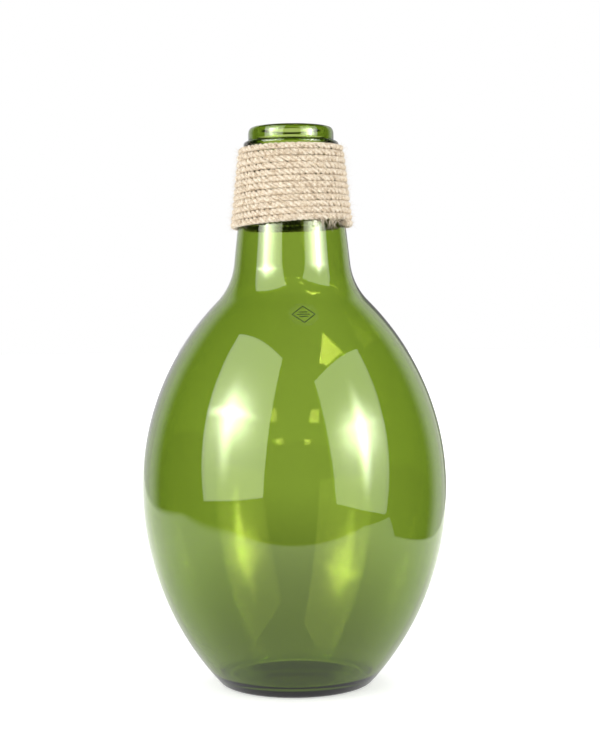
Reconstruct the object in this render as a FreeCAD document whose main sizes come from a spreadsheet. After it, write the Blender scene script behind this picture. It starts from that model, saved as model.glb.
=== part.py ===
import FreeCAD, Part

import math
import os
from types import SimpleNamespace

import Sketcher
from FreeCAD import Placement, Rotation, Vector

# Blown glass carboy with a rope-wound neck, in millimetres.
# +Z runs up the axis of the bottle. The origin is the centre of the plane that the foot stands on.
# Front is -Y. Angles round the axis are counted from +X towards +Y.

# name, value, what it is
DIMENSIONS = [
    ("overall_height", 440.0, "foot plane to the top of the lip"),
    ("belly_radius", 120.4, "widest outer radius of the body"),
    ("belly_height", 155.7, "height of that widest place"),
    ("wall", 4.5, "thickness of the blown wall"),
    ("foot_radius", 54.4, "outer edge of the flat bearing ring"),
    ("foot_width", 4.0, "width of the bearing ring before its inner edge is rounded"),
    ("foot_round", 1.5, "rounding of the bearing ring's inner edge"),
    ("heel_radius", 9.8, "rounding between the foot and the body"),
    ("punt_height", 6.0, "rise of the hollow under the base"),
    ("base_thickness", 8.0, "glass between the hollow and the floor inside"),
    ("inner_heel_radius", 15.0, "rounding between the floor and the wall, inside"),
    ("neck_length", 93.8, "straight part of the neck, up to the middle of the collar"),
    ("neck_taper", 6.35, "slope of the neck's side, in degrees from the axis"),
    ("shoulder_radius", 49.6, "hollow curve between the body and the neck"),
    ("mouth_radius", 28.0, "bore of the mouth"),
    ("mouth_length", 16.0, "straight part of the bore, with its rounded top edge"),
    ("throat_rise", 10.0, "height of the cone between the neck's inside and the bore"),
    ("throat_round", 6.0, "rounding at both ends of that cone"),
    ("lip_wall", 4.4, "glass between the bore and the groove under the lip"),
    ("lip_height", 10.5, "height of the lip ring"),
    ("lip_flare", 1.3, "how far the lip's lower edge stands out from the groove"),
    ("lip_batter", 1.7, "how far the lip draws in towards its top"),
    ("lip_round", 2.0, "rounding of the lip's two top edges"),
    ("lip_underside_round", 0.8, "rounding of the lip's lower edge"),
    ("collar_step", 3.1, "neck radius at the collar, less the groove's radius"),
    ("collar_drop", 3.0, "underside of the lip down to the middle of the collar"),
    ("collar_section", 2.6, "radius of the collar's round section"),
    ("collar_projection", 2.1, "how far the collar stands out from the neck"),
    ("rope_diameter", 4.8, "diameter of the laid rope"),
    ("rope_turns", 12.05, "turns of rope round the neck"),
    ("rope_turn_gap", 0.1, "least air between one turn and the next"),
    ("rope_start_angle", -25.0, "where the lower end of the rope lies, in degrees"),
    ("rope_sag", 3.8, "how far the lowest turn drops at the side away from its end"),
    ("rope_lift", 0.8, "how far the top turn rises at that side"),
    ("rope_collar_gap", 0.15, "air between the top end of the rope and the collar"),
    ("glue_thickness", 0.4, "gap that the hot-melt beads fill between the neck and the rope"),
    ("glue_rope_gap", 0.12, "air between a bead and the nearest of the rope"),
    ("glue_arc", 5.0, "how far a bead reaches round the neck, in degrees"),
    ("glue_count", 4.0, "beads round the neck"),
    ("label_diameter", 22.5, "clear round label on the shoulder"),
    ("label_film", 0.12, "thickness of the label's film"),
    ("label_drop", 10.7, "height from the label's middle up to where the shoulder curve starts"),
    ("label_angle", -83.0, "where the label lies round the body, in degrees"),
]

POINTS_PER_TURN = 12  # corners of the rope's route in each turn
RUN_SHARE = 0.45  # share of a run that the arc at each of its ends takes up
START, END, CENTRE = 1, 2, 3  # Sketcher's names for the points of a line or an arc
ORIGIN, X_AXIS, Y_AXIS = -1, -1, -2  # Sketcher's names for the sketch's own origin and axes
OVERCUT = 1.0  # how far a profile runs past the face that it cuts or joins
FILM_SECTOR = 40.0  # degrees of label film before it is cut round
VOLUME_TOLERANCE = 0.005  # how far the rope's volume may be from its section times its length
EDGE_TOLERANCE = 0.001  # how far a ring's radius and height may be from the ones asked for
SETTLING_ROUNDS = 20  # rounds in which the rope's top end finds its height


def make_sheet(doc):
    """Puts the driving dimensions into a spreadsheet, one alias each."""
    sheet = doc.addObject("Spreadsheet::Sheet", "dims")
    for row, (name, value, note) in enumerate(DIMENSIONS, start=1):
        sheet.set(f"A{row}", note)
        sheet.set(f"B{row}", str(value))
        sheet.setAlias(f"B{row}", name)
    doc.recompute()
    return sheet


def read_sheet(sheet):
    """The sheet's values by name."""
    return SimpleNamespace(**{name: float(getattr(sheet, name)) for name, _, _ in DIMENSIONS})


def polar(centre, radius, angle):
    """The point of a circle at an angle in radians, as (r, z)."""
    return centre[0] + radius * math.cos(angle), centre[1] + radius * math.sin(angle)


def heading(start, end):
    """The direction from one (r, z) point to another, in radians."""
    return math.atan2(end[1] - start[1], end[0] - start[0])


def outline(d):
    """Works out the places of the bottle's half section, as (r, z), from the driving dimensions.

    The body is two arcs that meet upright at the belly. The lower one is tangent to the heel and the
    upper one to the shoulder curve, which is tangent to the straight neck.
    """
    o = SimpleNamespace()
    o.taper = math.radians(d.neck_taper)
    o.groove_radius = d.mouth_radius + d.lip_wall
    o.lip_base = d.overall_height - d.lip_height
    o.collar_height = o.lip_base - d.collar_drop
    o.neck_top = (o.groove_radius + d.collar_step, o.collar_height)
    o.neck_base_height = o.collar_height - d.neck_length
    o.neck_base = (neck_radius(d, o, o.neck_base_height), o.neck_base_height)

    o.heel = (d.foot_radius, d.heel_radius)
    across, up = d.belly_radius - o.heel[0], d.belly_height - o.heel[1]
    o.lower_radius = (across**2 + up**2 - d.heel_radius**2) / (2 * (across - d.heel_radius))
    o.lower = (d.belly_radius - o.lower_radius, d.belly_height)
    o.heel_end = heading(o.lower, o.heel)

    o.shoulder = polar(o.neck_base, d.shoulder_radius, o.taper)
    across, up = d.belly_radius - o.shoulder[0], o.shoulder[1] - d.belly_height
    o.upper_radius = (across**2 + up**2 - d.shoulder_radius**2) / (2 * (across + d.shoulder_radius))
    o.upper = (d.belly_radius - o.upper_radius, d.belly_height)
    o.upper_end = heading(o.upper, o.shoulder)

    o.punt_edge = d.foot_radius - d.foot_width
    o.punt_radius = (o.punt_edge**2 + d.punt_height**2) / (2 * d.punt_height)
    o.punt = (0.0, d.punt_height - o.punt_radius)
    return o


def neck_radius(d, o, height):
    """The neck's outer radius at a height."""
    return o.neck_top[0] + (o.collar_height - height) * math.tan(o.taper)


def new_body(doc, name):
    """A body and its XZ plane, in which +X is the radius and +Y the height."""
    body = doc.addObject("PartDesign::Body", name)
    body.Label = name
    plane = next(f for f in body.Origin.OriginFeatures if f.Role == "XZ_Plane")
    return body, plane


def new_sketch(body, plane, name):
    sketch = body.newObject("Sketcher::SketchObject", name)
    sketch.AttachmentSupport = [(plane, "")]
    sketch.MapMode = "FlatFace"
    return sketch


def add_line(sketch, start, end):
    return sketch.addGeometry(Part.LineSegment(Vector(*start, 0), Vector(*end, 0)), False)


def add_arc(sketch, centre, radius, first, last):
    """An arc that runs anticlockwise from angle first to angle last."""
    circle = Part.Circle(Vector(*centre, 0), Vector(0, 0, 1), radius)
    return sketch.addGeometry(Part.ArcOfCircle(circle, first, last), False)


def join(sketch, *pairs):
    """Joins the ends of curves: each pair is (curve, end, curve, end)."""
    for pair in pairs:
        sketch.addConstraint(Sketcher.Constraint("Coincident", *pair))


def smooth(sketch, *pairs):
    """Joins the ends of curves so that one runs on from the other."""
    for pair in pairs:
        sketch.addConstraint(Sketcher.Constraint("Tangent", *pair))


def measure(sketch, kind, name, where, expression):
    """Adds a dimension that follows an expression on the sheet, starting from its drawn value."""
    index = sketch.addConstraint(Sketcher.Constraint(kind, *where, drawn_value(sketch, kind, where)))
    sketch.renameConstraint(index, name)
    sketch.setExpression(f"Constraints.{name}", expression)


def drawn_value(sketch, kind, where):
    """What a dimension measures on the curves as they are drawn."""
    if kind == "Radius":
        return sketch.Geometry[where[0]].Radius
    first, second = sketch.getPoint(*where[:2]), sketch.getPoint(*where[2:])
    if kind == "DistanceX":
        return second.x - first.x
    return second.y - first.y


def read_off(sketch, kind, name, where):
    """Names a dimension that the tangencies settle, so that other sketches can read it."""
    index = sketch.addConstraint(Sketcher.Constraint(kind, *where, drawn_value(sketch, kind, where)))
    sketch.setDriving(index, False)
    sketch.renameConstraint(index, name)


def turn_about_axis(body, kind, name, sketch):
    """Turns a profile once round the bottle's axis, as a Revolution or a Groove."""
    feature = body.newObject(f"PartDesign::{kind}", name)
    feature.Profile = sketch
    feature.ReferenceAxis = (sketch, ["V_Axis"])
    feature.Angle = 360.0
    return feature


def draw_outside(sketch, d, o):
    """The outer half section: foot, heel, body, shoulder, neck and the stub under the lip."""
    groove = (o.groove_radius, o.lip_base)
    stub_top = o.lip_base + OVERCUT
    stub = (o.groove_radius, stub_top)
    foot = add_line(sketch, (0, 0), (d.foot_radius, 0))
    heel = add_arc(sketch, o.heel, d.heel_radius, -math.pi / 2, o.heel_end)
    lower = add_arc(sketch, o.lower, o.lower_radius, o.heel_end, 0)
    upper = add_arc(sketch, o.upper, o.upper_radius, 0, o.upper_end)
    shoulder = add_arc(sketch, o.shoulder, d.shoulder_radius, o.taper + math.pi, o.upper_end + math.pi)
    neck = add_line(sketch, o.neck_base, o.neck_top)
    step = add_line(sketch, o.neck_top, groove)
    side = add_line(sketch, groove, stub)
    top = add_line(sketch, stub, (0, stub_top))
    axis = add_line(sketch, (0, stub_top), (0, 0))

    join(sketch, (foot, START, ORIGIN, START), (axis, END, foot, START), (top, END, axis, START))
    join(sketch, (neck, END, step, START), (step, END, side, START), (side, END, top, START))
    smooth(sketch, (foot, END, heel, START), (heel, END, lower, START), (lower, END, upper, START))
    smooth(sketch, (upper, END, shoulder, END), (shoulder, START, neck, START))
    for line in (foot, top):
        sketch.addConstraint(Sketcher.Constraint("Horizontal", line))
    for line in (side, axis):
        sketch.addConstraint(Sketcher.Constraint("Vertical", line))

    origin = (ORIGIN, START)
    collar_height = "dims.overall_height - dims.lip_height - dims.collar_drop"
    groove_radius = "dims.mouth_radius + dims.lip_wall"
    measure(sketch, "DistanceX", "foot_radius", (*origin, foot, END), "dims.foot_radius")
    measure(sketch, "Radius", "heel_radius", (heel,), "dims.heel_radius")
    measure(sketch, "DistanceX", "belly_radius", (*origin, lower, END), "dims.belly_radius")
    measure(sketch, "DistanceY", "lower_centre", (*origin, lower, CENTRE), "dims.belly_height")
    measure(sketch, "DistanceY", "upper_centre", (*origin, upper, CENTRE), "dims.belly_height")
    measure(sketch, "Radius", "shoulder_radius", (shoulder,), "dims.shoulder_radius")
    measure(sketch, "DistanceX", "neck_radius", (*origin, neck, END), f"{groove_radius} + dims.collar_step")
    measure(sketch, "DistanceY", "neck_top", (*origin, neck, END), collar_height)
    measure(sketch, "DistanceY", "neck_length", (neck, START, neck, END), "dims.neck_length")
    neck_draw = "dims.neck_length * tan(dims.neck_taper * 1deg)"
    measure(sketch, "DistanceX", "neck_draw", (neck, END, neck, START), neck_draw)
    measure(sketch, "DistanceX", "groove_radius", (*origin, side, START), groove_radius)
    measure(sketch, "DistanceY", "lip_base", (*origin, side, START), "dims.overall_height - dims.lip_height")
    measure(sketch, "DistanceY", "overlap", (side, START, side, END), f"{OVERCUT}")
    read_off(sketch, "Radius", "lower_radius", (lower,))
    read_off(sketch, "Radius", "upper_radius", (upper,))
    read_off(sketch, "DistanceY", "shoulder_centre", (*origin, shoulder, CENTRE))


def draw_collar(sketch, d, o):
    """The round section of the collar that stands out below the lip."""
    centre = (o.neck_top[0] + d.collar_projection - d.collar_section, o.collar_height)
    ring = sketch.addGeometry(Part.Circle(Vector(*centre, 0), Vector(0, 0, 1), d.collar_section), False)
    measure(sketch, "Radius", "section", (ring,), "dims.collar_section")
    middle = (ORIGIN, START, ring, CENTRE)
    neck_top = "dims.mouth_radius + dims.lip_wall + dims.collar_step"
    level = "dims.overall_height - dims.lip_height - dims.collar_drop"
    reach = f"{neck_top} + dims.collar_projection - dims.collar_section"
    measure(sketch, "DistanceX", "reach", middle, reach)
    measure(sketch, "DistanceY", "level", middle, level)


def draw_lip(sketch, d, o):
    """The lip's section: a ring that flares out over the groove and draws in towards the top."""
    inside = d.mouth_radius
    flared = o.groove_radius + d.lip_flare
    corners = [
        (inside, o.lip_base),
        (flared, o.lip_base),
        (flared - d.lip_batter, d.overall_height),
        (inside, d.overall_height),
    ]
    sides = [add_line(sketch, corners[i], corners[(i + 1) % 4]) for i in range(4)]
    join(sketch, *[(sides[i], END, sides[(i + 1) % 4], START) for i in range(4)])
    under, outer, over, inner = sides
    for line in (under, over):
        sketch.addConstraint(Sketcher.Constraint("Horizontal", line))
    sketch.addConstraint(Sketcher.Constraint("Vertical", inner))
    origin = (ORIGIN, START)
    flare = "dims.mouth_radius + dims.lip_wall + dims.lip_flare"
    measure(sketch, "DistanceX", "inside", (*origin, under, START), "dims.mouth_radius")
    measure(sketch, "DistanceX", "flare", (*origin, outer, START), flare)
    measure(sketch, "DistanceX", "draw", (*origin, outer, END), f"{flare} - dims.lip_batter")
    measure(sketch, "DistanceY", "base", (*origin, under, START), "dims.overall_height - dims.lip_height")
    measure(sketch, "DistanceY", "top", (*origin, over, START), "dims.overall_height")


def meeting(centre_a, radius_a, centre_b, radius_b):
    """Where two circles cross, on the side away from the axis."""
    gap = math.dist(centre_a, centre_b)
    along = (radius_a**2 - radius_b**2 + gap**2) / (2 * gap)
    aside = math.sqrt(radius_a**2 - along**2)
    ux, uz = (centre_b[0] - centre_a[0]) / gap, (centre_b[1] - centre_a[1]) / gap
    foot = (centre_a[0] + ux * along, centre_a[1] + uz * along)
    candidates = [(foot[0] + s * uz * aside, foot[1] - s * ux * aside) for s in (1, -1)]
    return max(candidates)


def draw_cavity(sketch, d, o):
    """The inner half section: a wall's thickness inside the body, a domed floor and a straight mouth."""
    floor_radius = o.punt_radius + d.base_thickness
    lower_radius, upper_radius = o.lower_radius - d.wall, o.upper_radius - d.wall
    shoulder_radius = d.shoulder_radius + d.wall
    reach = d.inner_heel_radius
    heel = meeting(o.lower, lower_radius - reach, o.punt, floor_radius + reach)
    floor_end, heel_end = heading(o.punt, heel), heading(o.lower, heel)
    mouth_base = d.overall_height - d.mouth_length
    throat_base = mouth_base - d.throat_rise
    ceiling = d.overall_height + OVERCUT
    neck_start = polar(o.shoulder, shoulder_radius, o.taper + math.pi)
    neck_end = (neck_radius(d, o, throat_base) - d.wall / math.cos(o.taper), throat_base)

    floor = add_arc(sketch, o.punt, floor_radius, floor_end, math.pi / 2)
    corner = add_arc(sketch, heel, d.inner_heel_radius, floor_end + math.pi, heel_end + 2 * math.pi)
    lower = add_arc(sketch, o.lower, lower_radius, heel_end, 0)
    upper = add_arc(sketch, o.upper, upper_radius, 0, o.upper_end)
    shoulder = add_arc(sketch, o.shoulder, shoulder_radius, o.taper + math.pi, o.upper_end + math.pi)
    neck = add_line(sketch, neck_start, neck_end)
    throat = add_line(sketch, neck_end, (d.mouth_radius, mouth_base))
    mouth = add_line(sketch, (d.mouth_radius, mouth_base), (d.mouth_radius, ceiling))
    top = add_line(sketch, (d.mouth_radius, ceiling), (0, ceiling))
    axis = add_line(sketch, (0, ceiling), (0, o.punt[1] + floor_radius))

    smooth(sketch, (corner, START, floor, START), (corner, END, lower, START), (lower, END, upper, START))
    smooth(sketch, (upper, END, shoulder, END), (shoulder, START, neck, START))
    join(sketch, (neck, END, throat, START), (throat, END, mouth, START), (mouth, END, top, START))
    join(sketch, (top, END, axis, START), (axis, END, floor, END))
    sketch.addConstraint(Sketcher.Constraint("PointOnObject", axis, START, Y_AXIS))
    sketch.addConstraint(Sketcher.Constraint("PointOnObject", floor, CENTRE, Y_AXIS))
    sketch.addConstraint(Sketcher.Constraint("Horizontal", top))
    for line in (mouth, axis):
        sketch.addConstraint(Sketcher.Constraint("Vertical", line))

    origin = (ORIGIN, START)
    mouth_level = "dims.overall_height - dims.mouth_length"
    punt, outer = "punt_profile.Constraints.punt_radius", "outer_profile.Constraints"
    measure(sketch, "Radius", "floor_radius", (floor,), f"{punt} + dims.base_thickness * 1mm")
    measure(sketch, "DistanceY", "floor_top", (*origin, floor, END), "dims.punt_height + dims.base_thickness")
    measure(sketch, "Radius", "inner_heel_radius", (corner,), "dims.inner_heel_radius")
    measure(sketch, "DistanceX", "belly_radius", (*origin, lower, END), "dims.belly_radius - dims.wall")
    measure(sketch, "Radius", "lower_radius", (lower,), f"{outer}.lower_radius - dims.wall * 1mm")
    measure(sketch, "DistanceY", "lower_centre", (*origin, lower, CENTRE), "dims.belly_height")
    measure(sketch, "DistanceY", "upper_centre", (*origin, upper, CENTRE), "dims.belly_height")
    measure(sketch, "Radius", "upper_radius", (upper,), f"{outer}.upper_radius - dims.wall * 1mm")
    measure(sketch, "Radius", "shoulder_radius", (shoulder,), "dims.shoulder_radius + dims.wall")
    measure(sketch, "DistanceY", "shoulder_centre", (*origin, shoulder, CENTRE), f"{outer}.shoulder_centre")
    measure(sketch, "DistanceY", "throat_base", (*origin, neck, END), f"{mouth_level} - dims.throat_rise")
    neck_top = "dims.mouth_radius + dims.lip_wall + dims.collar_step"
    thickness = "dims.wall / cos(dims.neck_taper * 1deg)"
    below = "(dims.mouth_length + dims.throat_rise - dims.lip_height - dims.collar_drop)"
    throat_radius = f"{neck_top} - {thickness} + {below} * tan(dims.neck_taper * 1deg)"
    measure(sketch, "DistanceX", "throat_radius", (*origin, neck, END), throat_radius)
    measure(sketch, "DistanceX", "mouth_radius", (*origin, mouth, START), "dims.mouth_radius")
    measure(sketch, "DistanceY", "mouth_base", (*origin, mouth, START), mouth_level)
    measure(sketch, "DistanceY", "ceiling", (*origin, mouth, END), f"dims.overall_height + {OVERCUT}")


def draw_punt(sketch, d, o):
    """The hollow under the base: an arc from the bearing ring to the axis, closed below the foot."""
    edge_angle = heading(o.punt, (o.punt_edge, 0))
    dome = add_arc(sketch, o.punt, o.punt_radius, edge_angle, math.pi / 2)
    side = add_line(sketch, (o.punt_edge, 0), (o.punt_edge, -OVERCUT))
    under = add_line(sketch, (o.punt_edge, -OVERCUT), (0, -OVERCUT))
    axis = add_line(sketch, (0, -OVERCUT), (0, d.punt_height))
    join(sketch, (dome, START, side, START), (side, END, under, START))
    join(sketch, (under, END, axis, START), (axis, END, dome, END))
    sketch.addConstraint(Sketcher.Constraint("PointOnObject", dome, CENTRE, Y_AXIS))
    sketch.addConstraint(Sketcher.Constraint("PointOnObject", dome, START, X_AXIS))
    sketch.addConstraint(Sketcher.Constraint("PointOnObject", axis, START, Y_AXIS))
    sketch.addConstraint(Sketcher.Constraint("Horizontal", under))
    for line in (side, axis):
        sketch.addConstraint(Sketcher.Constraint("Vertical", line))
    origin = (ORIGIN, START)
    measure(sketch, "DistanceX", "edge", (*origin, side, START), "dims.foot_radius - dims.foot_width")
    measure(sketch, "DistanceY", "rise", (*origin, dome, END), "dims.punt_height")
    measure(sketch, "DistanceY", "depth", (under, START, ORIGIN, START), f"{OVERCUT}")
    read_off(sketch, "Radius", "punt_radius", (dome,))


def ring_edges(shape, radius, height):
    """The names of the shape's circular edges with that radius at that height."""
    names = []
    for index, edge in enumerate(shape.Edges, start=1):
        if edge.Degenerated or not isinstance(edge.Curve, Part.Circle):
            continue
        curve = edge.Curve
        apart = max(abs(curve.Radius - radius), abs(curve.Center.z - height))
        if apart < EDGE_TOLERANCE:
            names.append(f"Edge{index}")
    return names


def round_rings(doc, body, name, rings, alias):
    """Rounds circular edges, given as (radius, height), by a radius of the sheet."""
    base = body.Tip
    edges = [edge for radius, height in rings for edge in ring_edges(base.Shape, radius, height)]
    if len(edges) != len(rings):
        raise ValueError(f"{name}: found {len(edges)} edges for {len(rings)} rings")
    fillet = body.newObject("PartDesign::Fillet", name)
    fillet.Base = (base, edges)
    fillet.setExpression("Radius", f"dims.{alias}")
    doc.recompute()
    return fillet


def make_bottle(doc, d, o):
    """The glass: one solid with a body, neck, collar and lip, hollow inside and under the base."""
    body, plane = new_body(doc, "glass_bottle")
    outer = new_sketch(body, plane, "outer_profile")
    draw_outside(outer, d, o)
    turn_about_axis(body, "Revolution", "blown_form", outer)
    collar = new_sketch(body, plane, "collar_profile")
    draw_collar(collar, d, o)
    turn_about_axis(body, "Revolution", "collar_ring", collar)
    lip = new_sketch(body, plane, "lip_profile")
    draw_lip(lip, d, o)
    turn_about_axis(body, "Revolution", "lip_ring", lip)
    doc.recompute()
    solid_volume = body.Shape.Volume

    punt = new_sketch(body, plane, "punt_profile")
    draw_punt(punt, d, o)
    doc.recompute()
    turn_about_axis(body, "Groove", "punt_hollow", punt)
    cavity = new_sketch(body, plane, "cavity_profile")
    draw_cavity(cavity, d, o)
    turn_about_axis(body, "Groove", "cavity", cavity)
    doc.recompute()
    if not body.Shape.Volume < 0.5 * solid_volume:
        raise ValueError("the cavity took nothing out of the bottle")

    mouth_base = d.overall_height - d.mouth_length
    throat_base = mouth_base - d.throat_rise
    throat_radius = neck_radius(d, o, throat_base) - d.wall / math.cos(o.taper)
    lip_bottom = o.groove_radius + d.lip_flare
    tops = [(d.mouth_radius, d.overall_height), (lip_bottom - d.lip_batter, d.overall_height)]
    throats = [(d.mouth_radius, mouth_base), (throat_radius, throat_base)]
    round_rings(doc, body, "lip_top_round", tops, "lip_round")
    round_rings(doc, body, "lip_underside_round", [(lip_bottom, o.lip_base)], "lip_underside_round")
    round_rings(doc, body, "throat_round", throats, "throat_round")
    round_rings(doc, body, "foot_round", [(o.punt_edge, 0)], "foot_round")
    return body


def rope_top(d, o):
    """The height of the rope's centre at its top end, where it clears the collar."""
    offset = (d.glue_thickness + d.rope_diameter / 2) / math.cos(o.taper)
    reach = d.collar_section + d.rope_diameter / 2 + d.rope_collar_gap
    collar_radius = o.neck_top[0] + d.collar_projection - d.collar_section
    drop = 0.0
    for _ in range(SETTLING_ROUNDS):  # the neck widens as the rope sinks
        aside = neck_radius(d, o, o.collar_height - drop) + offset - collar_radius
        drop = math.sqrt(max(reach**2 - aside**2, 0.0))
    return o.collar_height - drop


def rope_corners(d, o):
    """The corners of the rope's route, from its lower end up.

    It is a right-handed helix on the neck's cone. Each turn rests on the one below where the winding
    starts. On the side away from there the lowest turn sags and the top turn has risen, and the turns
    between share the difference.
    """
    pitch = d.rope_diameter + d.rope_turn_gap
    offset = (d.glue_thickness + d.rope_diameter / 2) / math.cos(o.taper)
    bottom = rope_top(d, o) - d.rope_turns * pitch
    corners = []
    for index in range(int(round(d.rope_turns * POINTS_PER_TURN)) + 1):
        turn = index / POINTS_PER_TURN
        bow = (1 - math.cos(2 * math.pi * turn)) / 2
        sag = d.rope_sag - (d.rope_sag + d.rope_lift) * turn / d.rope_turns
        height = bottom + pitch * turn - sag * bow
        radius = (neck_radius(d, o, height) + offset) / corner_inset()
        angle = math.radians(d.rope_start_angle) + 2 * math.pi * turn
        corners.append(Vector(radius * math.cos(angle), radius * math.sin(angle), height))
    return corners


def corner_inset():
    """The least distance of the rounded route from the axis, as a share of its corners' distance.

    That is the middle of a run, or the middle of an arc if that lies nearer.
    """
    half_corner = math.pi / POINTS_PER_TURN
    run = 2 * math.sin(half_corner)
    arc = RUN_SHARE * run / math.tan(half_corner)
    return min(math.cos(half_corner), 1 - arc * (1 / math.cos(half_corner) - 1))


def rounded_route(corners):
    """Straight runs joined by tangent arcs, each as large as its two runs allow. Prints the least radius."""
    edges, at, radii = [], corners[0], []
    for before, corner, after in zip(corners, corners[1:], corners[2:]):
        back, on = (before - corner), (after - corner)
        reach = RUN_SHARE * min(back.Length, on.Length)
        back.normalize()
        on.normalize()
        half_turn = (math.pi - back.getAngle(on)) / 2
        radius = reach / math.tan(half_turn)
        bisector = (back + on).normalize()
        middle = corner + bisector * (radius / math.cos(half_turn) - radius)
        first, last = corner + back * reach, corner + on * reach
        edges.append(Part.LineSegment(at, first).toShape())
        edges.append(Part.Arc(first, middle, last).toShape())
        radii.append(radius)
        at = last
    edges.append(Part.LineSegment(at, corners[-1]).toShape())
    print(f"rope route: {len(corners)} corners, least radius {min(radii):.1f} mm")
    return Part.Wire(edges)


def make_rope(doc, d, o):
    """The rope: one tube of its outer diameter along the whole winding."""
    corners = rope_corners(d, o)
    route = rounded_route(corners)
    along = (corners[1] - corners[0]).normalize()
    section = Part.Face(Part.Wire(Part.Circle(corners[0], along, d.rope_diameter / 2).toShape()))
    tube = route.makePipe(section)
    expected = section.Area * route.Length
    if abs(tube.Volume - expected) > VOLUME_TOLERANCE * expected:
        raise ValueError(f"the rope's volume is {tube.Volume:.0f} and not {expected:.0f} cubic millimetres")
    print(f"rope: {route.Length:.0f} mm long, volume {tube.Volume:.0f} of {expected:.0f} mm3")
    rope = doc.addObject("Part::Feature", "jute_rope")
    rope.Label = "jute_rope"
    rope.Shape = tube
    return rope


def make_glue(doc, d, o):
    """Upright hot-melt beads on the neck, under the turns, in one body as separate solids."""
    body, plane = new_body(doc, "glue_beads")
    sketch = new_sketch(body, plane, "bead_profile")
    pitch = d.rope_diameter + d.rope_turn_gap
    high = o.collar_height - d.rope_diameter
    low = high - (d.rope_turns - 2) * pitch
    thickness = (d.glue_thickness - d.glue_rope_gap) / math.cos(o.taper)
    foot, head = (neck_radius(d, o, low), low), (neck_radius(d, o, high), high)
    corners = [foot, (foot[0] + thickness, low), (head[0] + thickness, high), head]
    sides = [add_line(sketch, corners[i], corners[(i + 1) % 4]) for i in range(4)]
    join(sketch, *[(sides[i], END, sides[(i + 1) % 4], START) for i in range(4)])
    under, outer, over, inner = sides
    for line in (under, over):
        sketch.addConstraint(Sketcher.Constraint("Horizontal", line))

    origin = (ORIGIN, START)
    slope = "tan(dims.neck_taper * 1deg)"
    film = "(dims.glue_thickness - dims.glue_rope_gap) / cos(dims.neck_taper * 1deg)"
    length = "(dims.rope_turns - 2) * (dims.rope_diameter + dims.rope_turn_gap)"
    head_height = "dims.overall_height - dims.lip_height - dims.collar_drop - dims.rope_diameter"
    head_radius = f"dims.mouth_radius + dims.lip_wall + dims.collar_step + dims.rope_diameter * {slope}"
    measure(sketch, "DistanceX", "foot_thickness", (under, START, under, END), film)
    measure(sketch, "DistanceX", "head_thickness", (over, END, over, START), film)
    measure(sketch, "DistanceY", "head_height", (*origin, inner, START), head_height)
    measure(sketch, "DistanceY", "length", (inner, END, inner, START), length)
    measure(sketch, "DistanceX", "head_radius", (*origin, inner, START), head_radius)
    measure(sketch, "DistanceX", "spread", (inner, START, inner, END), f"{length} * {slope}")

    bead = turn_about_axis(body, "Revolution", "bead", sketch)
    bead.Midplane = True
    bead.setExpression("Angle", "dims.glue_arc")
    doc.recompute()
    body.AllowCompound = True
    pattern = body.newObject("PartDesign::PolarPattern", "beads_round_neck")
    pattern.Originals = [bead]
    pattern.Axis = (sketch, ["V_Axis"])
    pattern.Angle = 360.0
    pattern.setExpression("Occurrences", "dims.glue_count")
    body.Tip = pattern
    doc.recompute()
    return body


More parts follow.
